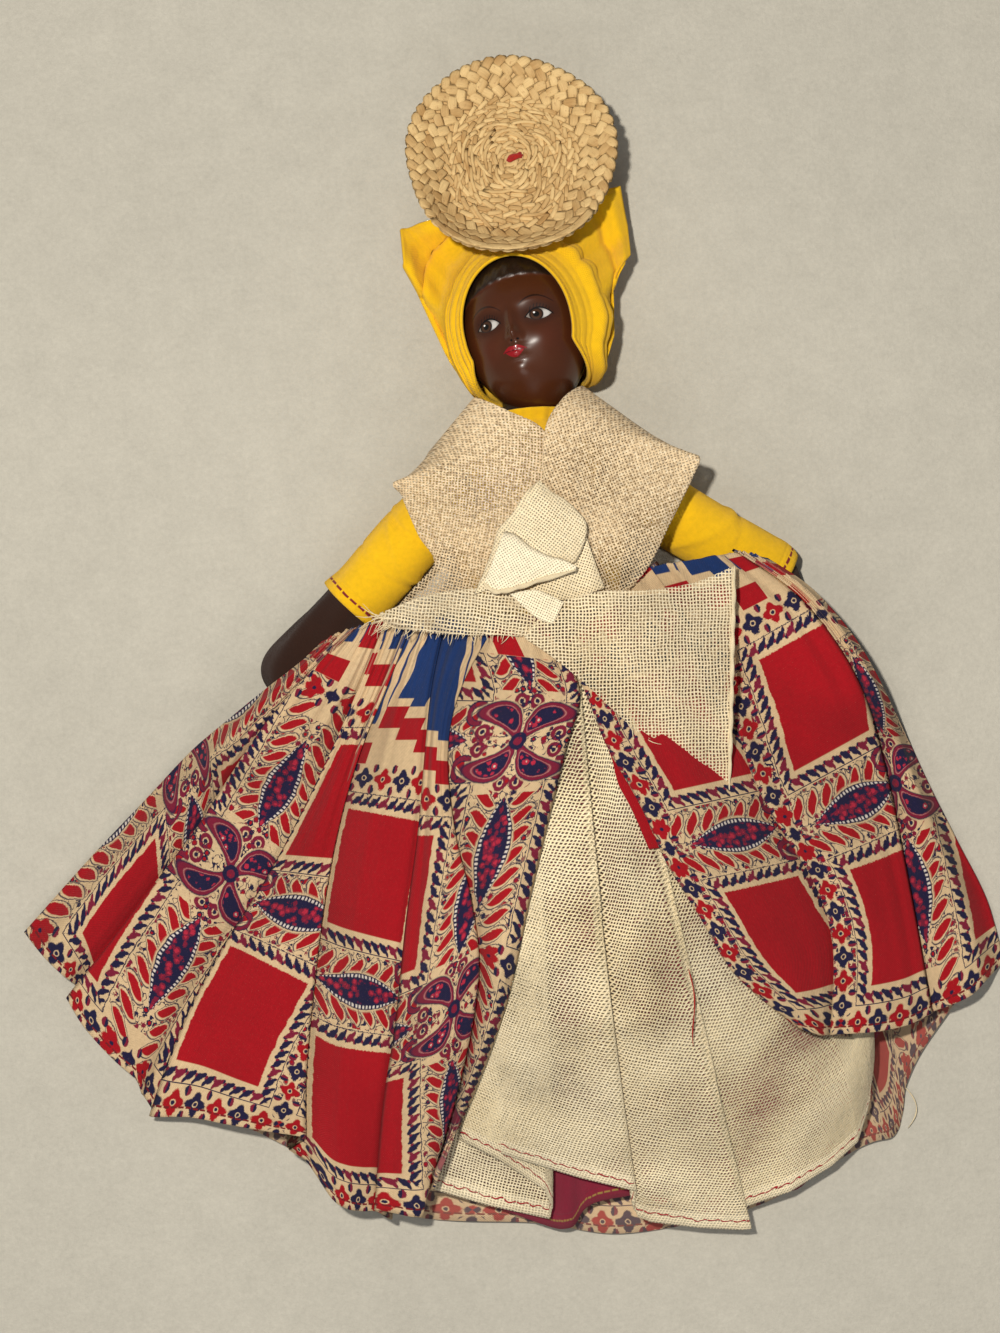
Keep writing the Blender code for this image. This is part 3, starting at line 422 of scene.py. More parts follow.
    # along the waist: red steps on cream, then blue blocks with cream stripes
    stair = Term.math("MODULO", Term.math("FLOOR", s / 7.5) * 3.0 + 400, 4.0) * 3.4
    level = t - s.beyond(OTHER_CUT, 1.0) * OTHER_WAIST
    top = (level - WAIST_FROM).beyond(0, 0.2)
    rise = level - WAIST_FROM - stair
    high = (level - stair * 0.7).beyond(128.5, 0.3)
    column = every(s + (noise(flat, 0.12, 1) - 0.5) * 3.0, 15.0, 200)
    colour = coats(
        colour,
        (CREAM, top),
        (RED, top * rise.beyond(0.0, 0.2) * rise.below(6.2, 0.2)),
        (CREAM, high),
        (BLUE, high * (1 - column.beyond(10.4, 0.25))),
        (BLUE, abs(column - 12.6).below(0.3, 0.2) * high),
    )
    # thread by thread shading, wear and a little dirt
    threads = weave(s, t, 0.53)
    slub = noise(flat, 0.9, 3)
    wear = noise(flat, 0.045, 3)
    colour = tint(colour, (threads * 0.42 + 0.70) * (slub * 0.35 + 0.83) * (wear * 0.45 + 0.78))
    # pale flecks on the threads' raised tops are painted highlight, where light catches the weave
    fibre = noise(flat, 3.4, 2).beyond(0.66, 0.08) * threads.beyond(0.55, 0.3)
    # the hem's stitches, two millimetres above the edge
    dash = every(s, 2.1).below(1.55, 0.2)
    sewn = abs(t - s.beyond(OTHER_CUT, 1.0) * OTHER_RISE - 2.0 + wobble * 0.5)
    stitch = sewn.below(0.24, 0.1) * dash
    colour = coats(colour, ((0.55, 0.30, 0.22), fibre * 0.2), ((0.16, 0.008, 0.012), stitch))
    if fade:
        colour = paint(colour, (0.56, 0.38, 0.28), Term(fade))
    Term.tree.links.new(colour, shader.inputs["Base Color"])
    shader.inputs["Roughness"].default_value = 0.86
    shader.inputs["Sheen Weight"].default_value = 0.03
    shader.inputs["Sheen Roughness"].default_value = 0.5
    groove = abs(t - 3.6).below(0.35, 0.4)
    bump(shader, threads + slub * 0.6 + stitch * 0.6 - groove * 1.2, 0.00022, 0.8)
    return look


print_cloth = print_material("print_cloth", 0.0)
print_reverse = print_material("print_reverse", 0.2)

# The skirt's cut lines, drawn once: the front hangs in tube folds from the waistband, and each
# fold is a panel between two creases that run from the waist to the hem. A panel keeps the
# cloth's true size, so the print breaks off at each crease as it does on the real skirt. The
# dome is its height down the middle at even steps, as shares of the highest place.
WAIST_DOME = (0.73, 0.76, 0.89, 0.92, 0.94, 1.0, 0.90, 0.56, 0.28, 0.18)
DOME_HEIGHT = 39.6
SKIRT_LENGTH = 160
FLOOR_CLOTH = 4.6
LEFT_HEADING, RIGHT_HEADING = math.radians(222), math.radians(-41.5)


def smooth(value):
    value = min(1.0, max(0.0, value))
    return value * value * (3 - 2 * value)


def bell(value, width):
    return math.exp(-((value / width) ** 2))


def on_row(row, share):
    """A value or point on a row of them, as a smooth curve, share from 0 to 1."""
    span = (len(row) - 1) * min(1.0, max(0.0, share))
    i = min(int(span), len(row) - 2)
    f = span - i
    points = [np.asarray(row[max(0, min(len(row) - 1, i + k))], float) for k in (-1, 0, 1, 2)]
    if len(row) == 2:
        return points[1] * (1 - f) + points[2] * f
    a = 2 * points[1]
    b = points[2] - points[0]
    c = 2 * points[0] - 5 * points[1] + 4 * points[2] - points[3]
    d = -points[0] + 3 * points[1] - 3 * points[2] + points[3]
    return 0.5 * (a + b * f + c * f * f + d * f ** 3)


def reach(x, y, place, heading, near, far):
    """How far x, y in mm is from the stretch of an arm between near and far."""
    along, aside = math.cos(heading), math.sin(heading)
    run = min(far, max(near, (x - place[0]) * along + (y - place[1]) * aside))
    return math.hypot(x - place[0] - run * along, y - place[1] - run * aside)


def front_height(x, y):
    """How high the skirt's front lies, in mm, over the hidden doll and over the two hands."""
    down = -y / SKIRT_LENGTH
    place = (down + 0.1) / 1.1 * 9
    i = int(min(8, max(0, place)))
    f = min(1.0, max(0.0, place - i))
    high = (WAIST_DOME[i] * (1 - f) + WAIST_DOME[i + 1] * f) * DOME_HEIGHT
    wide = 33 + 25 * smooth(down / 0.3) + 37 * smooth((down - 0.55) / 0.4)
    dome = high * math.exp(-abs(x / wide) ** 2.5)
    left = reach(x, y, (-24.5, 33.5), LEFT_HEADING, 36, 67)
    right = reach(x, y, (24.5, 33.5), RIGHT_HEADING, 23.5, 68)
    lift = max(14.5 * smooth(1 - (left - 11) / 24), 17.5 * smooth(1 - (right - 11) / 24))
    return FLOOR_CLOTH + math.hypot(dome, lift), lift


def apron_cover(x, y):
    """1 where the apron lies over the lining and 0 outside it."""
    fan = abs(x) / (21 + 0.5 * abs(y))
    return smooth((1.7 - fan) / 0.6)


def make_object(name, bm, *looks):
    """A finished mesh as an object of its own."""
    mesh = bpy.data.meshes.new(name)
    bm.to_mesh(mesh)
    bm.free()
    made = bpy.data.objects.new(name, mesh)
    bpy.context.scene.collection.objects.link(made)
    for look in looks:
        mesh.materials.append(look)
    return made


def grid(down, across, place):
    """Rows of points, place(u, t) for u across and t down, both from 0 to 1."""
    return [[place(m / across, k / down) for m in range(across + 1)] for k in range(down + 1)]


def sheet_from(name, rows, looks, thickness, flats, ring=False):
    """A cloth from rows of points, with its own flat coordinates in mm for each face."""
    bm = bmesh.new()
    layer = bm.loops.layers.uv.new("flat")
    points = [[bm.verts.new(p) for p in row] for row in rows]
    count = len(rows[0])
    for i in range(len(rows) - 1):
        for j in range(count if ring else count - 1):
            corners = ((i, j), (i + 1, j), (i + 1, j + 1), (i, j + 1))
            face = bm.faces.new([points[m][n % count] for m, n in corners])
            face.smooth = True
            for loop, (m, n) in zip(face.loops, corners):
                loop[layer].uv = flats(m, n)
    made = make_object(name, bm, *looks)
    shell = made.modifiers.new("cloth", "SOLIDIFY")
    shell.thickness = thickness
    shell.offset = -1
    shell.use_rim = True
    shell.material_offset = len(looks) - 1
    apply_modifiers(made)
    return made


def apply_modifiers(made):
    bpy.ops.object.select_all(action="DESELECT")
    bpy.context.view_layer.objects.active = made
    made.select_set(True)
    for modifier in list(made.modifiers):
        bpy.ops.object.modifier_apply(modifier=modifier.name)


def fold_front(name, creases, panels, down, across, open_side):
    """One side of the skirt's front. Each crease is a row of pixels from the waist to the hem.
    A panel says where its print starts and how its fold rolls; tuck is how many pixels it runs
    on under its left and right neighbour, and hem is how its lower edge strays. The side seam
    comes down to the floor."""
    lines = [[on_row(crease, k / down) for k in range(down + 1)] for crease in creases]
    spans = len(creases) - 1
    columns = []
    for n, panel in enumerate(panels):
        columns += [(n, -1.0)] * (1 if panel["tuck"][0] else 0)
        columns += [(n, m / across) for m in range(across + 1)]
        columns += [(n, 2.0)] * (1 if panel["tuck"][1] else 0)
    chance = random.Random(7)
    phase = [chance.uniform(0, 6.28) for _ in range(24)]

    def cloth_point(k, n, w):
        t = k / down
        panel = panels[n]
        left, right = lines[n][k], lines[n + 1][k]
        wide = np.linalg.norm(right - left) + 1e-6
        under = 0.0
        if w < 0:
            under, w = 1.0, -panel["tuck"][0] * (0.35 + 0.65 * t) / wide
        elif w > 1.5:
            under, w = 1.0, 1 + panel["tuck"][1] * (0.35 + 0.65 * t) / wide
        pixel = left * (1 - w) + right * w
        pixel = pixel + on_row(panel["hem"], w) * t ** 5
        inner = min(1.0, max(0.0, w))
        swell = inner ** panel.get("lean", 1.0)
        edges = panel.get("edges", (0.0, 0.0))
        roll = math.sin(math.pi * swell) ** 0.7
        for low, tuck, off in zip(edges, panel["tuck"], (inner, 1 - inner)):
            if not tuck:
                roll = max(roll, low * (1 - bell(off, 0.05) * 0.25) * smooth((0.5 - off) * 4))
        size = panel.get("rise", 1.0) * (0.4 + 0.6 * smooth(t * 1.6))
        ripple = 0.0
        for h in range(4):
            turn = (2.2 + h * 1.7) * 2 * math.pi * inner
            ripple += math.sin(turn + phase[(n * 4 + h) % 24] + t * (h - 1.5)) / (h + 2)
        gather = 0.75 * ripple * (1 - smooth(t * 1.6)) + 0.2 * ripple
        edge = 1.0
        if n == 0 and open_side == "left":
            edge = smooth(inner / 0.35)
        if n == spans - 1 and open_side == "right":
            edge = smooth((1 - inner) / 0.35)
        height = 30.0
        for _ in range(3):
            place = spot(pixel, height * MM)
            x, y = place.x / MM, place.y / MM
            base, lift = front_height(x, y)
            high = base + 1.3 + 1.5 * apron_cover(x, y)
            high += (5.2 * size * roll + gather) * (1 - under) + 0.2 * under
            low = 2.1 + lift
            height = low + (high - low) * edge
        return Vector((x * MM, y * MM, height * MM)), w

    made = [[cloth_point(k, n, w) for n, w in columns] for k in range(down + 1)]
    rows = [[point for point, _ in row] for row in made]
    shares = [[w for _, w in row] for row in made]
    wide = []
    long = []
    for n in range(spans):
        inner = [i for i, (m, w) in enumerate(columns) if m == n and 0 <= w <= 1]
        wide.append([(rows[k][inner[-1]] - rows[k][inner[0]]).length / MM for k in range(down + 1)])
        mid = inner[len(inner) // 2]
        total = [0.0]
        for k in range(down, 0, -1):
            total.append(total[-1] + (rows[k][mid] - rows[k - 1][mid]).length / MM)
        long.append(total[::-1])

    def flats(k, column):
        n = columns[column][0]
        panel = panels[n]
        s = panel["start"] + (shares[k][column] - panel["anchor"]) * wide[n][k] * 1.06
        return s, long[n][k] + panel.get("up", 0.0)

    return sheet_from(name, rows, (print_cloth, print_reverse), 0.7 * MM, flats)


# Left front, from the outer edge to the opening's left edge
LEFT_CREASES = (
    ((322, 641), (300, 662), (264, 690), (225, 722), (190, 752), (145, 800), (90, 858), (24, 932)),
    ((352, 629), (318, 664), (268, 720), (232, 772), (197, 826), (152, 884), (104, 944), (64, 988)),
    ((386, 618), (360, 684), (332, 748), (300, 815), (262, 884), (220, 948), (180, 1020), (143, 1112)),
    ((415, 616), (388, 684), (362, 748), (342, 815), (326, 897), (314, 1000), (308, 1090), (310, 1165)),
    ((446, 618), (432, 684), (425, 748), (418, 830), (406, 920), (396, 1020), (384, 1110), (378, 1208)),
    ((500, 617), (462, 686), (448, 750), (455, 830), (472, 900), (480, 975), (462, 1080), (430, 1190)),
    ((552, 634), (580, 690), (566, 750), (549, 820), (530, 900), (508, 1000), (474, 1095), (438, 1168)),
)
LEFT_PANELS = (
    {"start": 3.0, "anchor": 0.0, "lean": 0.9, "tuck": (0, 16), "rise": 0.9,
     "hem": ((0, 0), (6, 6), (12, 6), (10, -4))},
    {"start": 98.0, "anchor": 0.62, "lean": 0.9, "tuck": (0, 22), "edges": (0.55, 0),
     "hem": ((2, 10), (0, 8), (8, 8), (14, 0), (2, -14))},
    {"start": 111.0, "anchor": 0.0, "lean": 1.1, "tuck": (0, 0), "edges": (0.5, 0.55), "rise": 1.1,
     "hem": ((6, 4), (4, -8), (0, -14), (0, -20), (-4, -27))},
    {"start": 154.5, "anchor": 0.0, "lean": 0.85, "tuck": (20, 14), "rise": 1.1,
     "hem": ((-4, -4), (4, 22), (2, 22), (0, 14), (0, 4))},
    {"start": 176.0, "anchor": 0.0, "lean": 1.0, "tuck": (0, 0), "edges": (0.6, 0.6), "rise": 1.2,
     "hem": ((-4, 2), (4, 10), (8, 18), (6, 22), (-8, 22))},
    {"start": 1190.0, "anchor": 1.0, "lean": 1.2, "up": OTHER_RISE, "tuck": (14, 0),
     "hem": ((0, 0), (0, 4), (0, 2), (0, 0))},
)
skirt_left = fold_front("printed_skirt_left", LEFT_CREASES, LEFT_PANELS, 90, 26, "left")
# Right front, from the opening's right edge to the outer side seam
RIGHT_CREASES = (
    ((560, 650), (584, 690), (606, 745), (640, 805), (666, 862), (700, 918), (735, 975), (797, 1028)),
    ((650, 567), (704, 645), (733, 716), (754, 780), (786, 838), (818, 890), (834, 950), (832, 1034)),
    ((738, 552), (797, 594), (845, 655), (872, 715), (890, 785), (905, 860), (918, 930), (932, 1012)),
    ((768, 558), (814, 590), (860, 645), (897, 715), (927, 780), (957, 840), (987, 900), (1004, 962)),
)
RIGHT_PANELS = (
    {"start": 46.0, "anchor": 0.0, "lean": 1.0, "tuck": (0, 18), "rise": 0.9,
     "hem": ((0, 0), (1, 2), (2, 3), (1, 3), (0, 0))},
    {"start": 46.0, "anchor": 0.0, "lean": 0.9, "tuck": (0, 0), "edges": (0.6, 0.5), "rise": 1.1,
     "hem": ((-2, 1), (0, 5), (0, 8), (3, 7), (1, 1))},
    {"start": 96.0, "anchor": 0.0, "lean": 1.1, "tuck": (18, 0),
     "hem": ((0, 0), (0, 6), (4, 8), (2, 4), (0, 0))},
)
skirt_right = fold_front("printed_skirt_right", RIGHT_CREASES, RIGHT_PANELS, 90, 30, "right")
for piece, node, flat in (
    (skirt_left, "skirt_front_left", (0.20, 0.15)),
    (skirt_right, "skirt_front_right", (0.13, 0.125)),
):
    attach(piece, "torso")
    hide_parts(node)


# The right front's cut edge is turned under, and a strip of its red print shows beside the
# opening. It lies between the apron and the skirt and is one cloth with the skirt's edge.
def turned_point(u, t):
    edge = on_row(RIGHT_CREASES[0], 0.30 + 0.236 * t)
    across = 3.0 - (3.2 + 9.5 * smooth(t * 2.6)) * (1 - u)
    height = 30.0
    for _ in range(3):
        place = spot((edge[0] + across, edge[1] - 0.12 * across), height * MM)
        height = front_height(place.x / MM, place.y / MM)[0] + 1.55
    return place


turned_edge = sheet_from(
    "skirt_turned_edge", grid(30, 8, turned_point), (print_cloth, print_reverse), 0.4 * MM,
    lambda k, m: (27 + 0.4 * m, 20 + 0.7 * k),
)
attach(turned_edge, "torso")

# The skirt's back lies flat on the floor under everything, in the same printed cotton, print
# side down and gathered into the waistband; past the front's hem its edge rolls up a little and
# shows. Its four edges are given as shares of the half spread and of the skirt's length.
HALF_SPREAD = 140
BACK_TOP = ((-0.16, 0.01), (-0.08, 0.02), (0.08, 0.02), (0.17, 0.01))
BACK_LEFT = (
    (-0.16, 0.01), (-0.25, -0.03), (-0.35, -0.08), (-0.45, -0.11),
    (-0.55, -0.14), (-0.66, -0.18), (-0.82, -0.27), (-1.003, -0.424),
)
BACK_RIGHT = (
    (0.17, 0.01), (0.25, -0.04), (0.34, -0.12), (0.43, -0.18),
    (0.52, -0.20), (0.61, -0.24), (0.69, -0.34), (0.80, -0.588),
)
BACK_HEM = (
    (-1.003, -0.424), (-0.914, -0.525), (-0.793, -0.706), (-0.614, -0.794), (-0.50, -0.862),
    (-0.369, -0.946), (-0.131, -0.976), (0.051, -1.008), (0.286, -0.985), (0.504, -0.90),
    (0.575, -0.881), (0.60, -0.80), (0.679, -0.70), (0.80, -0.588),
)


def patch(top, hem, first, last):
    """A place in mm on the cloth spanned by its four edges, u across and t down."""

    def place(u, t):
        left, right, high, low = on_row(first, t), on_row(last, t), on_row(top, u), on_row(hem, u)
        at = (1 - u) * left + u * right + (1 - t) * high + t * low
        at -= (1 - u) * ((1 - t) * np.array(top[0]) + t * np.array(hem[0]))
        at -= u * ((1 - t) * np.array(top[-1]) + t * np.array(hem[-1]))
        return at[0] * HALF_SPREAD, at[1] * SKIRT_LENGTH

    return place


def from_hem(spot_on, u, t):
    """How far in mm a place on a cloth is from its hem."""
    x, y = spot_on(u, t)
    hem_x, hem_y = spot_on(u, 1.0)
    return math.hypot(x - hem_x, y - hem_y)


def back_point(u, t):
    x, y = back_spot(u, t)
    edge = smooth((t - 0.9) / 0.1)
    roll = edge * (0.5 + 0.5 * math.sin(u * 46) * math.sin(u * 17 + 1)) * 2.6
    return Vector((x * MM, y * MM, (0.85 + roll) * MM))


back_spot = patch(BACK_TOP, BACK_HEM, BACK_LEFT, BACK_RIGHT)
skirt_back = sheet_from(
    "printed_skirt_back", grid(60, 120, back_point), (print_reverse, print_cloth), 0.7 * MM,
    lambda k, m: (m / 120 * 330 + 6, from_hem(back_spot, m / 120, k / 60)),
)
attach(skirt_back, "torso")
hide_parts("skirt_back")


# The second doll's plain maroon skirt is the lining: it lies inside the printed one, sewn into
# the same waistband, and its hem shows as a dark red lip under the apron.
def plain_cloth(name, colour, pitch, blotch_depth, thread=None):
    """A plain woven cotton with slubs and soft darker and lighter blotches; thread is a hem's colour
    and its distance from the edge in mm."""
    look, shader, flat, s, t = start_material(name)
    threads = weave(s, t, pitch)
    slub = noise(flat, 0.8, 3)
    blotches = noise(flat, 0.06, 3)
    shade = (threads * 0.26 + 0.81) * (slub * 0.26 + 0.87) * (blotches * blotch_depth + 1 - blotch_depth * 0.5)
    colour = tint(colour, shade)
    height = threads + slub * 0.5
    if thread:
        wave = noise(flat, 0.25, 1) - 0.5
        line = abs(t - thread[1] + wave * 0.7).below(0.28, 0.12)
        dash = every(s, 2.3).below(1.8, 0.25)
        colour = paint(colour, thread[0], line * dash)
        height = height + line * dash * 0.8 - abs(t - thread[1] * 1.7).below(0.3, 0.4) * 1.1
    Term.tree.links.new(colour, shader.inputs["Base Color"])
    shader.inputs["Roughness"].default_value = 0.88
    shader.inputs["Sheen Weight"].default_value = 0.1
    bump(shader, height, 0.0002, 0.75)
    return look


maroon_cloth = plain_cloth(
    "maroon_cloth", (0.24, 0.012, 0.035), 0.45, 0.4, ((0.35, 0.2, 0.05), 2.2)
)
LINING_LEFT = ((-0.13, -0.03), (-0.35, -0.11), (-0.60, -0.23), (-0.857, -0.45))
LINING_RIGHT = ((0.13, -0.03), (0.36, -0.17), (0.56, -0.30), (0.70, -0.575))
LINING_TOP = ((-0.13, -0.03), (-0.05, -0.03), (0.05, -0.03), (0.13, -0.03))
LINING_HEM = (
    (-0.857, -0.45), (-0.714, -0.65), (-0.43, -0.825), (-0.143, -0.96), (-0.057, -0.985),
    (0.0, -0.945), (0.20, -0.94), (0.371, -0.956), (0.43, -0.875), (0.514, -0.75), (0.70, -0.575),
)
lining_spot = patch(LINING_TOP, LINING_HEM, LINING_LEFT, LINING_RIGHT)


def lining_back_point(u, t):
    x, y = lining_spot(u, t)
    return Vector((x * MM, y * MM, 2.15 * MM))


def lining_front_point(u, t):
    x, y = lining_spot(u, t)
    base, lift = front_height(x, y)
    dome = math.sqrt(max(0.0, (base - FLOOR_CLOTH) ** 2 - lift ** 2))
    height = max(3.5, FLOOR_CLOTH + dome - 1.3 - 3.5 * apron_cover(x, y)) + 0.35
    height += 0.35 * math.sin(u * 60 + 3 * t) * (0.3 + 0.7 * t) * smooth(height / 4 - 1)
    return Vector((x * MM, y * MM, height * MM))


for name, node, place in (
    ("lining_back", "skirt_lining_back", lining_back_point),
    ("lining_front", "skirt_lining_front", lining_front_point),
):
    piece = sheet_from(
        name, grid(50, 90, place), (maroon_cloth,), 0.6 * MM,
        lambda k, m: (m / 90 * 260, from_hem(lining_spot, m / 90, k / 50)),
    )
    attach(piece, "torso")
    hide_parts(node)

# The apron is open cotton gauze, gathered at the waist and laid in three wide pleats. Its
# hem is turned up twice and sewn with one row of red thread, and its threads stray.
HEM_DEPTH = 5.2


def gauze(name, colour, pitch, hole, stain, hem=False, dense=None, patchy=0.38, loose=None):
    """Open gauze with stray threads. hole is the open share of a mesh, stain a second tint,
    dense the height in mm from which a crepe closes up, and loose a place it is pulled open."""
    look, shader, flat, s, t = start_material(name)
    drift = noise(flat, 0.11, 3) - 0.5
    drift_too = noise(flat, 0.13, 3, 0.6) - 0.5
    crimp = 0.7 if dense else 0.28
    s2 = s + drift * 1.5 + (noise(flat, 0.9, 2) - 0.5) * crimp
    t2 = t + drift_too * 1.5 + (noise(flat, 1.1, 2) - 0.5) * crimp
    across = abs(Term.math("FRACT", s2 / pitch + 100) - 0.5)
    down = abs(Term.math("FRACT", t2 / pitch + 100) - 0.5)
    patches = noise(flat, 0.045, 3)
    tight = (patches - 0.5) * patchy
    gap = least(across, down) - (0.5 - hole) - tight + (noise(flat, 1.7, 2) - 0.5) * 0.16
    if dense:
        gap = gap - t.beyond(dense, 16) * 0.17
    if loose:
        pulled = length((s - loose[0]) / 26, (t - loose[1]) / 44).below(0.62, 0.7)
        gap = gap + pulled * (noise(flat, 0.06, 2) * 0.30 + 0.02)
    opening = gap.beyond(0.0, 0.10)
    if hem:
        opening = opening * (1 - t.below(HEM_DEPTH, 0.5) * 0.55)
    thick = noise(flat, 0.7, 3)
    shade = (thick * 0.4 + 0.8) * (noise(flat, 0.05, 3) * 0.3 + 0.85)
    shade = shade * (1 - gap.beyond(-0.10, 0.2) * 0.42)
    colour = paint(colour, stain, noise(flat, 0.02, 2).beyond(0.5, 0.3))
    colour = paint(colour, (0.88, 0.79, 0.60), noise(flat, 1.2, 2).beyond(0.6, 0.2) * 0.5)
    colour = tint(colour, shade)
    if dense:
        # where the crepe closes up, its small holes are drawn as dark specks: painted shade seen through
        # the gauze
        hole_shade = gap.beyond(-0.30, 0.1) * noise(flat, 0.8, 3).beyond(0.53, 0.1) * t.beyond(dense - 6, 14)
        grain = noise(flat, 2.6, 2) * 0.5 + 0.75
        colour = tint(paint(colour, (0.22, 0.13, 0.06), hole_shade * 0.5), grain)
    height = (0.5 - least(across, down)) * 1.6 + thick * 0.8
    if hem:
        colour = paint(colour, (0.92, 0.80, 0.58), t.below(HEM_DEPTH, 0.5) * 0.3)
        wave = noise(flat, 0.2, 1) - 0.5
        dash = every(s, 3.4).below(3.15, 0.2)
        zigzag = Term.math("SINE", s * 1.9) * 0.26
        line = abs(t - 3.0 + wave * 2.2 + zigzag).below(0.21, 0.10) * dash
        colour = paint(colour, (0.33, 0.012, 0.02), line)
        opening = opening * (1 - line)
        height = height + line + t.below(HEM_DEPTH, 0.4) * 1.5
    Term.tree.links.new(colour, shader.inputs["Base Color"])
    (1 - opening * 0.97).plug(shader.inputs["Alpha"])
    shader.inputs["Roughness"].default_value = 0.92
    shader.inputs["Sheen Weight"].default_value = 0.05
    bump(shader, height, 0.00025, 0.8)
    return look


apron_cloth = gauze(
    "apron_gauze", (0.90, 0.77, 0.53), 0.86, 0.30, (0.82, 0.67, 0.41), hem=True, loose=(178, 62)
)
# Each column: its pixel at the waist, at the middle and at the hem, and the layer it lies in
APRON_COLUMNS = (
    ((520, 660), (450, 920), (366, 1150), -1.6), ((519, 660), (455, 930), (395, 1172), -1.4),
    ((518, 660), (465, 940), (428, 1188), -1.2), ((520, 660), (500, 960), (490, 1206), -1.1),
    ((522, 660), (540, 965), (549, 1219), -1.2), ((523, 660), (546, 960), (552, 1208), -0.4),
    ((521, 660), (540, 945), (545, 1190), 0.4), ((519, 660), (505, 930), (500, 1160), 0.9),
    ((520, 660), (470, 915), (461, 1140), 1.0), ((523, 660), (484, 920), (466, 1143), 1.5),
    ((535, 660), (510, 935), (520, 1160), 1.6), ((552, 660), (552, 948), (580, 1178), 1.4),
    ((572, 660), (596, 955), (630, 1190), 1.5), ((578, 660), (606, 955), (637, 1191), 1.2),
    ((580, 660), (604, 960), (636, 1196), 0.4), ((578, 660), (598, 970), (634, 1208), -0.2),
    ((580, 660), (602, 975), (638, 1217), 0.0), ((586, 660), (616, 980), (650, 1222), 0.6),
    ((598, 660), (650, 985), (700, 1228), 0.7), ((612, 660), (682, 988), (742, 1230), 0.6),
    ((618, 660), (694, 985), (752, 1229), 0.2), ((617, 660), (692, 980), (750, 1220), -0.7),
    ((614, 660), (684, 975), (744, 1210), -1.3), ((616, 660), (690, 975), (748, 1206), -1.2),
    ((628, 660), (724, 970), (790, 1192), -0.8), ((642, 655), (764, 960), (832, 1166), -0.9),
    ((656, 650), (800, 940), (858, 1142), -1.4), ((664, 645), (820, 920), (868, 1110), -1.8),
    ((670, 640), (835, 900), (872, 1080), -2.2),
)


def apron_point(u, t):
    """A place on the apron, which lies in its pleats' layers over the skirt's front."""
    span = (len(APRON_COLUMNS) - 1) * u
    i = min(int(span), len(APRON_COLUMNS) - 2)
    f = span - i
    near, far = APRON_COLUMNS[i], APRON_COLUMNS[i + 1]
    mixed = [np.array(a) * (1 - f) + np.array(b) * f for a, b in zip(near[:3], far[:3])]
    curve = mixed[0] * (1 - t) ** 2 + (2 * mixed[1] - (mixed[0] + mixed[2]) / 2) * 2 * t * (1 - t)
    pixel = curve + mixed[2] * t * t
    layer = near[3] * (1 - f) + far[3] * f
    fan = smooth(t * 1.4)
    crease = 0.5 * math.sin(u * 70 + 2.0 * t) + 0.3 * math.sin(u * 151 - 3 * t)
    crease += 0.4 * math.sin(u * 31 + t)
    height = 30.0
    for _ in range(3):
        place = spot(pixel, height * MM)
        base, _lift = front_height(place.x / MM, place.y / MM)
        height = base + 0.9 * layer * (0.5 + 0.5 * fan) + crease * (0.4 + 0.6 * (1 - t))
    return place


rows = grid(80, 224, apron_point)
widths = [0.0]
for near, far in zip(rows[-1], rows[-1][1:]):
    widths.append(widths[-1] + (far - near).length / MM)
apron = sheet_from(
    "gauze_apron", rows, (apron_cloth,), 0.3 * MM,
    lambda k, m: (widths[m] * (0.45 + 0.55 * k / 80), (80 - k) / 80 * 142),
)
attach(apron, "torso")
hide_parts("apron_a")

# The heads are moulded in glossy dark brown plastic, with the face painted on by hand and the
# hair moulded as a ridge over the forehead. Each turns on a neck plug held in the body.
HEAD_HALF = (16.2, 21.5, 15.2)
HEAD_A = (
    Matrix.Translation(Vector((1, 75, 17.9)) * MM)
    @ Euler((math.radians(-9), math.radians(-13), math.radians(9))).to_matrix().to_4x4()
)
HEAD_B = Matrix.Translation(Vector((0, -75, 19.9)) * MM) @ Matrix.Rotation(math.pi, 4, "Z")


# The face's swellings and hollows: height, x, y, half width and half length, all in mm. First
# those on its middle, nose, lips and chin, then those on each side, nostril, eye, brow, cheek.
FACE_MIDDLE = (
    (2.5, 0, -2.6, 1.35, 1.9), (1.5, 0, 1.2, 1.15, 3.0), (1.0, -0.7, -6.9, 3.4, 2.5),
    (0.75, -0.7, -5.9, 2.1, 0.62), (0.9, -0.7, -7.6, 1.9, 0.7), (-0.75, -0.7, -6.72, 2.3, 0.28),
    (-0.5, -0.7, -9.1, 2.0, 0.7), (-0.3, -0.7, -4.9, 0.6, 0.6), (1.3, -0.6, -11.9, 3.4, 2.6),
)
FACE_SIDES = (
    (0.55, 1.75, -3.3, 0.75, 0.8), (-0.7, 0.85, -4.1, 0.42, 0.4), (-1.35, 6.5, 1.6, 3.9, 2.9),
    (0.75, 6.5, 1.3, 2.5, 1.5), (0.5, 6.5, 5.6, 3.6, 1.1), (0.9, 7.6, -5.4, 4.2, 3.9),
)
FACE = FACE_MIDDLE + FACE_SIDES + tuple((h, -x, y, w, l) for h, x, y, w, l in FACE_SIDES)
MOUTH_X, MOUTH_Y = -0.7, -6.72


def egg(direction, gap=0.0):
    """The plain head in mm: x across, y to the crown, z to the face."""
    low = max(0.0, -direction.y)
    across = HEAD_HALF[0] * (1 - 0.22 * low * low) + gap
    return Vector((
        across * direction.x, (HEAD_HALF[1] + gap) * direction.y, (HEAD_HALF[2] + gap) * direction.z
    ))


def head_relief(x, y):
    """How far the face stands out of the plain head at x, y in mm from its middle."""
    height = sum(h * bell(x - at, wide) * bell(y - up, long) for h, at, up, wide, long in FACE)
    hair = y - 13.3 + 0.018 * (x - 2) ** 2
    wave = 0.16 * math.sin(1.9 * x + 0.8 * y) + 0.1 * math.sin(3.1 * x - 1.3 * y)
    return height + smooth(hair / 0.9 + 0.5) * (0.75 + wave)


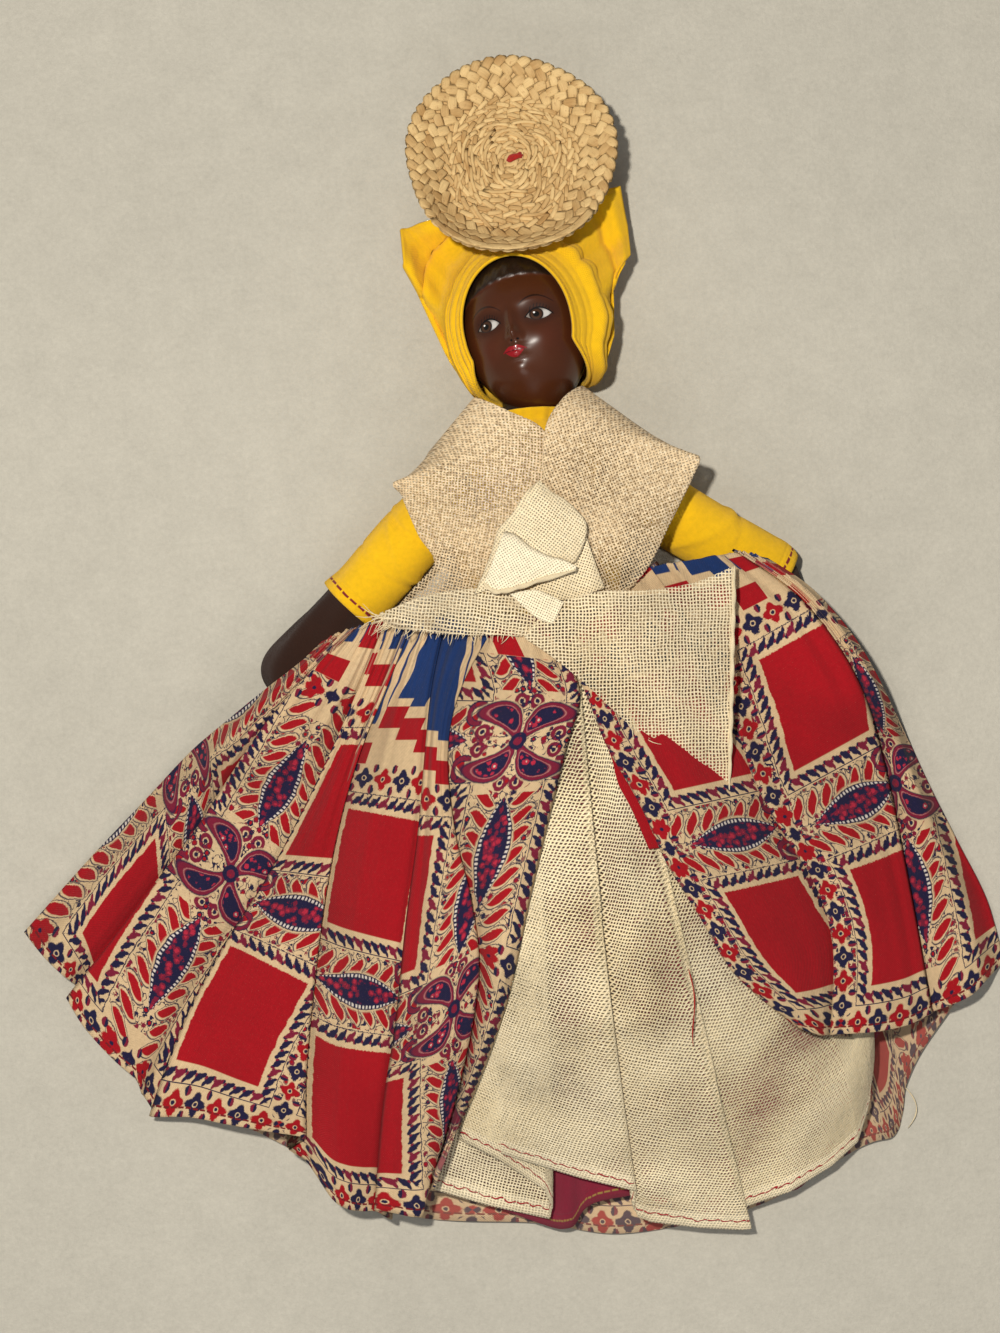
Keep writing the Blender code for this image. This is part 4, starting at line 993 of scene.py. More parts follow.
# Each eye's middle, and how far it looks to the side
EYES = ((-6.4, 1.45, -0.75), (6.9, 1.25, -0.55))
SKIN = (0.058, 0.0155, 0.0050)
INK = (0.004, 0.002, 0.002)


def face_material(name):
    look, shader, flat, x, y = start_material(name)
    place = object_place()
    cheek = least(length(abs(x) - 8.5, y + 4.5) / 6, Term(1.0))
    colour = paint((0.070, 0.0165, 0.0065), SKIN, cheek)
    colour = tint(colour, noise(place, 130, 3) * 0.34 + 0.83)
    for eye_x, eye_y, gaze in EYES:
        dx = x - eye_x
        dy = y - eye_y
        bow = 1 - (dx / 3.15) * (dx / 3.15)
        shade = length(dx / 4.6, (dy - 0.6) / 3.0).below(1.0, 0.5)
        upper = dy - bow * 1.85
        lower = dy + bow * 1.25
        inside = upper.below(0.0, 0.15) * lower.beyond(0.0, 0.15)
        far = length(dx - gaze, dy - 0.2)
        glint = length(dx - gaze + 0.45, dy - 0.75)
        lash = abs(upper - 0.12).below(0.22, 0.12) + abs(lower + 0.05).below(0.1, 0.1) * 0.6
        hairs = abs(Term.math("FRACT", dx * 1.25 + (dy - 1.6) * -0.5 + 20) - 0.5).below(0.13, 0.1)
        outer = upper.beyond(0.1, 0.1) * upper.below(1.25, 0.2) * abs(dx).below(2.9, 0.3) * hairs
        brow = abs(dy - 5.2 + (dx + 0.4) * (dx + 0.4) * 0.115) + abs(dx + 0.4) * 0.035
        colour = coats(
            colour,
            ((0.024, 0.0075, 0.004), shade * 0.55),
            ((0.20, 0.17, 0.15), inside),
            ((0.52, 0.50, 0.48), inside * length(dx - gaze - 2.2, dy).below(1.1, 0.9)),
            ((0.014, 0.006, 0.004), inside * far.below(1.75, 0.2)),
            ((0.060, 0.024, 0.011), inside * abs(far - 1.05).below(0.3, 0.25) * 0.8),
            ((0.002, 0.002, 0.002), inside * far.below(0.72, 0.14)),
            ((0.9, 0.9, 0.9), glint.below(0.24, 0.1)),
            (INK, least(lash * abs(dx).below(3.5, 0.3), Term(1.0))),
            (INK, outer * 0.85),
            ((0.010, 0.003, 0.002), brow.below(0.27, 0.22) * abs(dx + 0.2).below(4.3, 0.5) * 0.9),
        )
    mouth = x - MOUTH_X
    seam = y - MOUTH_Y
    rise = 1 - (mouth / 3.1) * (mouth / 3.1)
    dip = Term.math("EXPONENT", mouth * mouth * -1.8) * 0.32
    upper_lip = (seam - rise * 1.25 + dip).below(0.0, 0.16) * seam.beyond(-0.12, 0.12)
    full = 1 - (mouth / 2.6) * (mouth / 2.6)
    lower_lip = (seam + full * 1.75).beyond(0.0, 0.16) * seam.below(0.0, 0.12)
    lips = most(upper_lip, lower_lip)
    colour = paint(colour, (0.24, 0.005, 0.009), lips)
    colour = paint(colour, (0.10, 0.003, 0.005), abs(seam).below(0.14, 0.12) * abs(mouth).below(2.9, 0.4))
    for side in (-1, 1):
        nostril = length(x - side * 0.85, (y + 4.15) * 1.4)
        colour = paint(colour, (0.004, 0.001, 0.001), nostril.below(0.34, 0.2))
    hair = y - 13.3 + (x - 2) * (x - 2) * 0.018 + (noise(flat, 0.9, 2) - 0.5) * 0.7
    # the streaks along the strands are partly the hair's own tone and partly painted highlight, as brown
    # glints on the dark hair
    strands = noise(flat, 2.2, 3)
    dark = tint((0.016, 0.0075, 0.004), strands * 1.1 + 0.45)
    hair_share = hair.beyond(0.0, 0.5)
    colour = paint(colour, dark, hair_share)
    Term.tree.links.new(colour, shader.inputs["Base Color"])
    (noise(place, 300, 3) * 0.10 + 0.27 + hair_share * 0.12).plug(shader.inputs["Roughness"])
    shader.inputs["Coat Weight"].default_value = 0.10
    shader.inputs["Coat Roughness"].default_value = 0.06
    shader.inputs["Specular IOR Level"].default_value = 0.34
    relief = noise(place, 420, 2) * 0.25 + strands * hair_share * 1.6 + lips * 0.35
    bump(shader, relief, 0.00012, 0.5)
    return look


face_paint = face_material("face_paint")


def add_head(name, place, end):
    """A moulded head with its neck, as one closed skin and a plug below it."""
    bpy.ops.mesh.primitive_ico_sphere_add(subdivisions=6, radius=1)
    made = bpy.context.object
    made.name = name
    bm = bmesh.new()
    bm.from_mesh(made.data)
    layer = bm.loops.layers.uv.new("flat")
    plain = {}
    for v in bm.verts:
        direction = v.co.normalized()
        p = egg(direction)
        plain[v.index] = p.copy()
        if direction.z > 0:
            p.z += head_relief(p.x, p.y) * smooth(direction.z * 2.2)
        v.co = place @ (p * MM)
    for face in bm.faces:
        face.smooth = True
        behind = sum(plain[v.index].z for v in face.verts) < 0
        for loop in face.loops:
            p = plain[loop.vert.index]
            loop[layer].uv = (p.x + (200 if behind else 0), p.y)
    bm.to_mesh(made.data)
    bm.free()
    made.data.materials.append(face_paint)
    bpy.ops.mesh.primitive_cylinder_add(vertices=48, radius=6.8 * MM, depth=20 * MM)
    neck = bpy.context.object
    neck.data.transform(
        Matrix.Translation(Vector((0, end * 53.5, 17.6)) * MM)
        @ Matrix.Rotation(math.pi / 2, 4, "X")
    )
    neck.data.uv_layers[0].name = "flat"
    for loop in neck.data.uv_layers[0].data:
        loop.uv = (loop.uv[0] + 220, loop.uv[1] - 20)
    bpy.ops.object.shade_smooth()
    neck.data.materials.append(face_paint)
    made.select_set(True)
    neck.select_set(True)
    bpy.context.view_layer.objects.active = made
    bpy.ops.object.join()
    return made


head = add_head("painted_head", HEAD_A, 1)
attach(head, "head_a")
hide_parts("head_a")
other_head = add_head("painted_head_hidden", HEAD_B, -1)
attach(other_head, "head_b")
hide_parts("head_b")

# The headscarf is bright yellow cotton folded double along the face, drawn tight under the
# chin's sides and gathered up under the tray, where its ends stand out as two wings.
YELLOW = (0.92, 0.53, 0.006)
yellow_cloth = plain_cloth("yellow_cloth", YELLOW, 0.40, 0.14)
# Folds that run round the face: place from its edge, half width, height, slant, and how
# much of the height is kept on the doll's right side and on its left
RIM_FOLDS = (
    (0.07, 0.014, 0.8, 0.012, 1.0, 0.25), (0.125, 0.018, 1.2, 0.02, 1.0, -0.2),
    (0.185, 0.022, 1.0, 0.03, 1.0, 0.0), (0.20, 0.028, 1.5, 0.03, 0.0, 1.0),
    (0.29, 0.035, 1.0, 0.05, 0.2, 0.8), (0.155, 0.012, -0.5, 0.02, 0.6, 1.0),
)


def scarf_spot(angle, t, fullness, folds, extra=0.0):
    """A place in mm on a headscarf, t from the face's edge round to the back of the head."""
    upright = math.sin(angle)
    side = 49 if math.cos(angle) < 0 else 53
    if upright > 0:
        start = math.radians(side + (56 - side) * upright)
    else:
        start = math.radians(side + (136 - side) * smooth((-upright - 0.3) / 0.6))
    polar = start + (math.pi - start) * t
    flat = math.sin(polar)
    direction = Vector((flat * math.cos(angle), flat * upright, math.cos(polar)))
    full = min(1.0, fullness / 2)
    high = 0.35 + 0.65 * smooth(0.5 + upright)
    swell = math.sin(math.pi * min(1.0, t * 1.25)) ** 2 * high if t < 0.8 else 0.0
    crease = 0.0
    for middle, wide, deep, lean in folds:
        across = angle - middle - lean * t
        across = (across + math.pi) % (2 * math.pi) - math.pi
        deep *= math.sin(math.pi * min(1.0, t * 1.1)) * smooth((t - 0.1) / 0.2)
        crease += deep * bell(across, wide)
    sides = 0.35 + 0.65 * abs(math.cos(angle))
    crease *= 0.4 + 0.6 * abs(upright)
    right = smooth(0.5 + 0.8 * math.cos(angle))
    for at, wide, deep, lean, on_left, on_right in RIM_FOLDS:
        kept = on_left * (1 - right) + on_right * right
        run = t - at - lean * math.sin(angle + at * 9)
        crease += kept * deep * sides * bell(run, wide) * full
    # the folded-back band beside the cheek
    crease += 0.7 * right * smooth((t - 0.13) / 0.05) * (1 - smooth((t - 0.4) / 0.25)) * full
    fold = (0.5 + 0.5 * math.cos(9 * angle)) * math.sin(math.pi * t)
    hem = 0.55 * smooth(1 - t / 0.0416) - 0.35 * bell(t - 0.075, 0.012)
    return egg(direction, 1.15 + fullness * swell + 0.5 * fold + crease + hem + extra)


# Folds of the scarf in front: the angle from the head's right, half width, height, slant
SCARF_FOLDS = (
    (0.35, 0.08, 1.7, 0.45), (0.62, 0.07, 1.9, 0.35), (0.92, 0.06, 1.5, 0.15),
    (1.22, 0.07, 1.2, 0.05), (1.62, 0.07, 1.2, 0.0), (2.05, 0.07, 1.4, -0.1),
    (2.42, 0.08, 1.9, -0.35), (2.78, 0.09, 1.7, -0.5), (-0.12, 0.08, 1.7, 0.35),
    (-0.55, 0.08, 1.2, 0.15), (3.25, 0.09, 1.6, -0.35), (3.68, 0.08, 1.1, -0.15),
    (0.1, 0.05, -1.0, 0.4), (2.98, 0.05, -1.0, -0.4), (0.49, 0.035, -1.0, 0.4),
    (2.6, 0.035, -0.9, -0.4), (-0.33, 0.05, -0.7, 0.2), (3.46, 0.05, -0.7, -0.2),
)


def add_scarf(name, place, fullness, folds, cloth):
    around, deep = 240, 72
    rows = []
    for k in range(deep + 1):
        t = (k / deep) ** 1.25
        rows.append([
            place @ (scarf_spot(-2 * math.pi * m / around, t, fullness, folds) * MM)
            for m in range(around)
        ])
    return sheet_from(
        name, rows, (cloth,), 0.8 * MM,
        lambda k, m: (m / around * 105, 30 + 42 * (k / deep)), True,
    )


FULLNESS = 4.2
scarf = add_scarf("yellow_headscarf", HEAD_A, FULLNESS, SCARF_FOLDS, yellow_cloth)
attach(scarf, "head_a")
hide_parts("headscarf_a")
kerchief = add_scarf(
    "maroon_headscarf", HEAD_B, 0.15, tuple((a, w, d * 0.25, s) for a, w, d, s in SCARF_FOLDS),
    maroon_cloth,
)
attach(kerchief, "head_b")
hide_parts("headscarf_b")

# The wings: the scarf's two loose ends, folded and spread from under the tray, one with it. The
# corners of each are in pixels, and its folds are place, half width and height.
LEFT_WING = ((474, 388), (447, 351), (417, 285), (403, 262), (399, 227), (418, 221), (448, 214))
RIGHT_WING = ((598, 374), (613, 333), (611, 281), (631, 254), (629, 222), (621, 184), (575, 196))
LEFT_WING_FOLDS = ((0.12, 0.10, 1.2), (0.36, 0.07, -1.1), (0.52, 0.08, 1.3), (0.78, 0.08, -0.8))
RIGHT_WING_FOLDS = (
    (0.10, 0.07, 1.1), (0.26, 0.05, -1.3), (0.42, 0.07, 1.5), (0.62, 0.06, -1.1), (0.8, 0.08, 1.2),
)


def on_scarf(angle, t, above):
    """A place on the yellow scarf, in metres, that far above its cloth in mm."""
    return HEAD_A @ (scarf_spot(angle, t, FULLNESS, SCARF_FOLDS, above) * MM)


def add_wing(name, node, corners, angles, folds):
    tips = [spot(pixel, 17 * MM) for pixel in corners]

    def wing_point(t, u):
        angle = math.radians(angles[0] + (angles[1] - angles[0]) * t)
        span = (len(tips) - 1) * t
        i = min(int(span), len(tips) - 2)
        tip = tips[i].lerp(tips[i + 1], span - i)
        tip.z = (14.5 + 2.2 * math.sin(5 * math.pi * t) - 3.0 * t) * MM
        middle = on_scarf(angle, 0.36, 1.1)
        point = on_scarf(angle, 0.16, 0.25) * (1 - u) ** 2 + middle * 2 * u * (1 - u) + tip * u * u
        lift = sum(d * bell(t - c, w) for c, w, d in folds)
        lift *= math.sin(math.pi * min(1.0, u * 0.75 + 0.02))
        lift += 1.3 * bell(u - 0.9, 0.06) - 1.5 * bell(u - 0.76 - 0.05 * math.sin(7 * t), 0.045)
        point.z += lift * MM
        return point

    made = sheet_from(
        name, grid(48, 90, wing_point), (yellow_cloth,), 0.8 * MM,
        lambda k, m: (m / 90 * 42 + 200, k / 48 * 30 + 40),
    )
    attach(made, "head_a")
    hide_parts(node)


add_wing("scarf_wing_left", "scarf_wing_left_a", LEFT_WING, (208, 108), LEFT_WING_FOLDS)
add_wing("scarf_wing_right", "scarf_wing_right_a", RIGHT_WING, (-30, 68), RIGHT_WING_FOLDS)

# The folded ends behind the tray: two layers of the scarf drawn together into pleats, which the
# tray sits on and is stitched to.
PEAK_FOLDS = (
    (0.14, 0.05, 1.0), (0.30, 0.05, 1.3), (0.50, 0.06, 1.1), (0.70, 0.05, 1.3), (0.87, 0.05, 0.9),
)
PEAK_END = 124.4
PEAK_HEIGHT = 17.5208


def peak_point(u, t):
    aside = 2 * u - 1
    top = Vector((1 + 8.4 * aside, PEAK_END, PEAK_HEIGHT)) * MM
    point = on_scarf(math.pi / 2 - math.radians(28) * aside, 0.34, 0.5).lerp(top, t)
    rise = sum(d * bell(u - c, w) for c, w, d in PEAK_FOLDS)
    rise *= math.sin(math.pi * min(1.0, t * 0.9 + 0.05)) * 0.9
    point.z += (rise - 1.3 * math.sin(math.pi * t)) * MM
    return point


peak = sheet_from(
    "yellow_scarf_ends", grid(36, 96, peak_point), (yellow_cloth,), 1.1 * MM,
    lambda k, m: (m / 96 * 26, k / 36 * 22 + 120),
)
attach(peak, "head_a")
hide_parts("scarf_peak_a")

# The tray is a shallow dish of plaited straw: rounds of flat plait sewn edge to edge, each
# of two slanting rows of straws. One red stitch through its middle holds it to the scarf.
TRAY_TIP = math.radians(15)
TRAY = Matrix.Translation(Vector((1, 120, 20)) * MM) @ Matrix.Rotation(-TRAY_TIP, 4, "X")
TRAY_RADIUS = 27
COARSE_FROM = 18
straw, shader, flat, s, t = start_material("plaited_straw")
fibre = Term.tree.nodes.new("ShaderNodeMapping")
fibre.inputs["Scale"].default_value = (0.25, 5.0, 1)
Term.tree.links.new(flat, fibre.inputs["Vector"])
streak = noise(fibre.outputs[0], 1.0, 3)
each = noise(flat, 0.11, 1)
tone = paint((0.41, 0.235, 0.085), (0.68, 0.475, 0.22), each.beyond(0.44, 0.34))
tone = tint(tone, streak * 0.5 + 0.74)
tone = paint(tone, (0.33, 0.17, 0.07), noise(flat, 0.9, 2).beyond(0.66, 0.1) * 0.5)
Term.tree.links.new(tone, shader.inputs["Base Color"])
shader.inputs["Roughness"].default_value = 0.62
bump(shader, streak, 0.0002, 0.9)


def tray_spot(radius, angle, rise=0.0):
    """A place in mm over the dish: radius from its middle, rise above the straw."""
    low = smooth((math.sin(angle + 0.22) * -1 - 0.35) / 0.5)
    wavy = 1 + 0.012 * math.sin(3 * angle + 1) + 0.012 * math.sin(5 * angle) + 0.115 * low
    base = 4.2 * smooth((radius - 15.5) / 11.5)
    curl = low * max(0.0, radius - 19.5) * 0.42
    out = radius * wavy - curl * 0.62
    return Vector((out * math.cos(angle), out * math.sin(angle), base + curl * 1.15 + rise))


def tray_mesh():
    """A thin dish, and on both its faces the straws: coarse ones from 18 mm out, fine inside."""
    bm = bmesh.new()
    layer = bm.loops.layers.uv.new("flat")
    around, rings = 120, 24
    top = [[None] * around for _ in range(rings + 1)]
    low = [[None] * around for _ in range(rings + 1)]
    for i in range(rings + 1):
        for k in range(around):
            angle = 2 * math.pi * k / around
            radius = 0.6 + (TRAY_RADIUS - 0.9) * i / rings
            top[i][k] = bm.verts.new(tray_spot(radius, angle, 1.35))
            low[i][k] = bm.verts.new(tray_spot(radius, angle, 0.25))
    for i in range(rings):
        for k in range(around):
            n = (k + 1) % around
            bm.faces.new((top[i][k], top[i + 1][k], top[i + 1][n], top[i][n]))
            bm.faces.new((low[i][k], low[i][n], low[i + 1][n], low[i + 1][k]))
    for k in range(around):
        n = (k + 1) % around
        bm.faces.new((top[rings][k], low[rings][k], low[rings][n], top[rings][n]))
    bm.faces.new(top[0])
    bm.faces.new(low[0][::-1])
    for face in bm.faces:
        for loop in face.loops:
            loop[layer].uv = (3, 3)
    chance = random.Random(4)
    radius = TRAY_RADIUS
    count = 0
    while radius > 1.5:
        coarse = radius > COARSE_FROM
        wide = 4.7 if coarse else 3.1
        long, thin = (0.44, 0.28) if coarse else (0.66, 0.20)
        for row in range(2):
            middle = radius - wide * (0.27 + 0.46 * row)
            if middle < 0.8:
                continue
            pads = max(5, round(2 * math.pi * middle / (wide * (0.66 if coarse else 1.0))))
            slant = math.radians(42 if coarse else 17) * (1 if row else -1)
            phase = chance.random()
            for k in range(pads):
                angle = 2 * math.pi * (k + phase + chance.uniform(-0.1, 0.1)) / pads
                turn = slant + chance.uniform(-0.12, 0.12)
                size = wide * chance.uniform(0.95, 1.1)
                for side in (1, -1):
                    straw_pad(bm, layer, middle, angle, turn, size * long, size * thin, side, count)
                count += 1
        radius -= wide
    # long straws bind the rim where it curls up over the forehead, and stray ones lie inside
    for k in range(46):
        strand = k >= 14
        angle = math.radians(chance.uniform(0, 360) if strand else -132 + 6.2 * k)
        middle = chance.uniform(5, 17) if strand else TRAY_RADIUS - 0.4 - 0.7 * (k % 2)
        long, thin = (chance.uniform(2.5, 5.0), 0.45) if strand else (4.2, 1.25)
        turn = chance.uniform(-0.6, 0.6) if strand else 0.05
        straw_pad(bm, layer, middle, angle, turn, long, thin, 1, count, 0.45)
        count += 1
    made = make_object("plaited_tray", bm, straw)
    made.data.transform(Matrix.Scale(MM, 4))
    made.data.transform(TRAY)
    return made


def straw_pad(bm, layer, radius, angle, turn, half_long, half_wide, side, count, over=0.0):
    """One straw's visible stretch: a crowned flat strip that dips under at both ends."""
    pad = []
    for i in range(6):
        along = -1 + 2 * i / 5
        row = []
        for j in range(5):
            across = -1 + 2 * j / 4
            l, w = along * half_long, across * half_wide * (1 - 0.25 * along * along)
            out = l * math.sin(turn) + w * math.cos(turn)
            sideways = l * math.cos(turn) - w * math.sin(turn)
            crown = 0.5 * (1 - along ** 4) * (1 - 0.4 * across ** 4)
            crown += over - 0.18 * (abs(along) > 0.9)
            rise = (1.35 + crown) if side > 0 else (0.25 - crown * 0.6)
            where = max(0.3, min(TRAY_RADIUS + 0.3, radius + out))
            p = tray_spot(where, angle + sideways / max(radius, 1.2), rise)
            row.append((bm.verts.new(p), along * half_long, across * half_wide))
        pad.append(row)
    base = bm.verts.new(tray_spot(radius, angle, 0.9))
    rim = [pad[0][j] for j in range(5)] + [pad[i][4] for i in range(1, 6)]
    rim += [pad[5][j] for j in range(3, -1, -1)] + [pad[i][0] for i in range(4, 0, -1)]
    faces = []
    for i in range(5):
        for j in range(4):
            ring = [pad[i][j], pad[i + 1][j], pad[i + 1][j + 1], pad[i][j + 1]]
            faces.append(ring if side < 0 else ring[::-1])
    for a, b in zip(rim, rim[1:] + rim[:1]):
        ring = [a, b, (base, 0, 0)]
        faces.append(ring if side < 0 else ring[::-1])
    for ring in faces:
        face = bm.faces.new([p[0] for p in ring])
        face.smooth = True
        for loop, p in zip(face.loops, ring):
            loop[layer].uv = (count * 11.3 + p[1], count * 3.7 + p[2])


tray = tray_mesh()
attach(tray, "tray_a")
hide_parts("basket_tray_a")

# The red stitch that ties the tray down: three turns of one thread drawn tight, side by side.
red_yarn = plain_cloth("red_yarn", (0.44, 0.016, 0.010), 0.3, 0.4)


def add_tube(bm, layer, rings, flat):
    """Joins rings of points into a tube, shut at both ends; flat gives each corner's own place."""
    count = len(rings[0])
    faces = []
    for near, far in zip(rings, rings[1:]):
        faces += [(near[n], near[(n + 1) % count], far[(n + 1) % count], far[n]) for n in range(count)]
    faces += [rings[0][::-1], rings[-1]]
    for corners in faces:
        face = bm.faces.new(corners)
        face.smooth = True
        for loop in face.loops:
            loop[layer].uv = flat(loop.vert.co / MM)


bm = bmesh.new()
layer = bm.loops.layers.uv.new("flat")
for n in range(3):
    rings = []
    for j in range(15):
        f = -1 + 2 * j / 14
        ring = []
        for i in range(10):
            a = 2 * math.pi * i / 10
            radius = (0.44 + 0.06 * math.sin(7 * f + n)) * (1 - 0.5 * f ** 6)
            centre = Vector((
                (2.2 - 0.3 * (n != 1)) * f + 0.9,
                -0.3 + 0.46 * n + 0.5 * f + 0.15 * math.sin(4 * f + 2 * n),
                2.45 + 0.25 * (n % 2) - 0.8 * f ** 4,
            ))
            p = centre + Vector((0, radius * math.cos(a), radius * math.sin(a)))
            ring.append(bm.verts.new(TRAY @ (p * MM)))
        rings.append(ring)
    add_tube(bm, layer, rings, lambda at: (at.x + 8 * n, at.y))
bmesh.ops.recalc_face_normals(bm, faces=bm.faces)
stitch = make_object("red_tray_stitch", bm, red_yarn)
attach(stitch, "tray_a")
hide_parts("tray_stitch_a")

# Both half dolls share one stuffed calico body, hidden in the clothes, with a waist in the
# middle, a neck hole at each end and a hollow at each shoulder.
TORSO_LENGTH = 52
SHOULDER = (24.5, 33.5, 14.2)
HIDDEN_SHOULDER_Z = 10.9


def torso_spot(share, angle, gap=0.0):
    """A place in mm on the body: share from the waist, 0, to the neck, 1 or -1."""
    chest = smooth(abs(share) / 0.55)
    end = math.sqrt(max(0.0, 1 - abs(share) ** 6))
    half_width, half_depth = 17 + 4.5 * chest, 10.5 + 3 * chest
    return Vector((
        (half_width + gap) * end * math.cos(angle), (TORSO_LENGTH + gap) * share,
        4.1 + half_depth + (half_depth + gap) * end * math.sin(angle),
    ))


def cut_holes(made, radius, ends=(1, -1)):
    """Hollows out the armholes."""
    for end in ends:
        for side in (1, -1):
            bpy.ops.mesh.primitive_cylinder_add(
                vertices=48, radius=radius * MM, depth=0.06,
                location=(side * SHOULDER[0] * MM, end * SHOULDER[1] * MM, SHOULDER[2] * MM),
            )
            tool = bpy.context.object
            cut = made.modifiers.new("armhole", "BOOLEAN")
            cut.operation = "DIFFERENCE"
            cut.solver = "EXACT"
            cut.object = tool
            apply_modifiers(made)
            bpy.data.objects.remove(tool)


calico = plain_cloth("calico_cloth", (0.62, 0.52, 0.37), 0.5, 0.2)
bpy.ops.mesh.primitive_uv_sphere_add(segments=72, ring_count=54, radius=1)
body = bpy.context.object
body.name = "calico_body"
for v in body.data.vertices:
    place = torso_spot(v.co.z / v.co.length, math.atan2(v.co.y, v.co.x))
    v.co = place * MM
body.data.uv_layers[0].name = "flat"
for loop in body.data.uv_layers[0].data:
    loop.uv = (loop.uv[0] * 120, loop.uv[1] * 110 + 20)
body.data.materials.append(calico)
bpy.ops.object.shade_smooth()
cut_holes(body, 10.9)
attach(body, "torso")
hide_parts("stuffed_body")


# The bodices are gathered round the neck, yellow on one doll and maroon on the other, and
# sewn down at the waist, each with a narrow standing collar that closes up to the chin.
def add_bodice(name, node, end, cloth):
    """A bodice and its collar; end is 1 for the shown doll and -1 for the hidden one."""
    rows = []
    for k in range(41):
        share = 0.06 + 0.905 * math.sin(k / 40 * math.pi / 2)
        row = []
        for m in range(150):
            angle = -end * 2 * math.pi * m / 150
            ripple = 0.28 * math.sin(24 * angle + 3 * share) * smooth((share - 0.5) / 0.5)
            ripple += 0.22 * math.sin(11 * angle - 7 * share)
            row.append(torso_spot(end * share, angle, 1.2 + ripple) * MM)
        rows.append(row)
    made = sheet_from(
        name, rows, (cloth,), 0.6 * MM, lambda k, m: (m / 150 * 118, 20 + k * 1.3), True
    )
    cut_holes(made, 9.9 if end > 0 else 12.0, (end,))
    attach(made, "torso")
    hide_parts(node)
    middle = torso_spot(end, 0).z
    rows = []
    for k in range(15):
        share = k / 14
        row = []
        for m in range(120):
            angle = -end * 2 * math.pi * m / 120
            radius = 11.8 - 3.0 * smooth(share * 1.6) + 0.6 * smooth((share - 0.7) / 0.3)
            radius += 0.28 * math.sin(17 * angle) * (1 - 0.6 * share)
            y = end * (48.6 + 6.4 * share + 0.9 * math.sin(angle) * share)
            row.append(Vector((radius * math.cos(angle), y, middle + radius * math.sin(angle))) * MM)
        rows.append(row)
    band = sheet_from(
        name.replace("bodice", "collar"), rows, (cloth,), 0.5 * MM,
        lambda k, m: (m / 120 * 56, 80 + k * 0.5), True,
    )
    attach(band, "torso")


add_bodice("yellow_bodice", "bodice_a", 1, yellow_cloth)
add_bodice("maroon_bodice", "bodice_b", -1, maroon_cloth)

# The waistband joins the two: a band of maroon cotton drawn tight round the waist, which the
# skirts and the apron are gathered into.
rows = []
for k in range(13):
    share = 0.052 * (2 * k / 12 - 1)
    rows.append([
        torso_spot(share, -2 * math.pi * m / 150, 1.5 + 0.25 * math.sin(62 * math.pi * m / 150)) * MM
        for m in range(150)
    ])
band = sheet_from(
    "maroon_waistband", rows, (maroon_cloth,), 0.7 * MM,
    lambda k, m: (m / 150 * 95, 30 + k * 0.5), True,
)
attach(band, "torso")
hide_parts("waistband")

# The arms are stuffed mittens of dark brown cloth, sewn to the body at the armholes. The
# sleeves over them are cut straight and hemmed at the wrist with one row of dark red thread.
brown_cloth = plain_cloth("brown_cloth", (0.030, 0.011, 0.006), 0.42, 0.4)
yellow_stitched = plain_cloth("yellow_stitched", YELLOW, 0.40, 0.14, ((0.22, 0.012, 0.02), 2.0))
ARM_WIDTH = 7.8
ARM_DEPTH = 5.2
ARM_SHARES = (0, 1 / 7, 2 / 7, 3 / 7, 4 / 7, 5 / 7, 6 / 7, 1)
ARM_WIDTHS = (1.0, 0.98, 0.92, 0.88, 0.90, 0.98, 1.0, 0.92)
ARM_DEPTHS = (1.15, 1.12, 1.05, 0.98, 0.88, 0.78, 0.70, 0.62)


def arm_spot(long, share, angle, gap, bend):
    """A place in mm on an arm along x, share 0 at the shoulder and 1 at the fingertips."""
    wide = np.interp(share, ARM_SHARES, ARM_WIDTHS) * ARM_WIDTH
    deep = np.interp(share, ARM_SHARES, ARM_DEPTHS) * ARM_DEPTH
    if share < 0:
        close = math.sqrt(max(0.0, 1 - (share * long / ARM_WIDTH) ** 2))
    else:
        close = math.sqrt(max(0.0, 1 - max(0.0, (share - 0.86) / 0.14) ** 3))
    side = bend * smooth((share - 0.6) / 0.5) * 1.6
    return Vector((
        share * long + (gap * share * long / ARM_WIDTH if share < 0 else 0),
        (wide + gap) * close * math.cos(angle) + side, (deep + gap) * close * math.sin(angle),
    ))


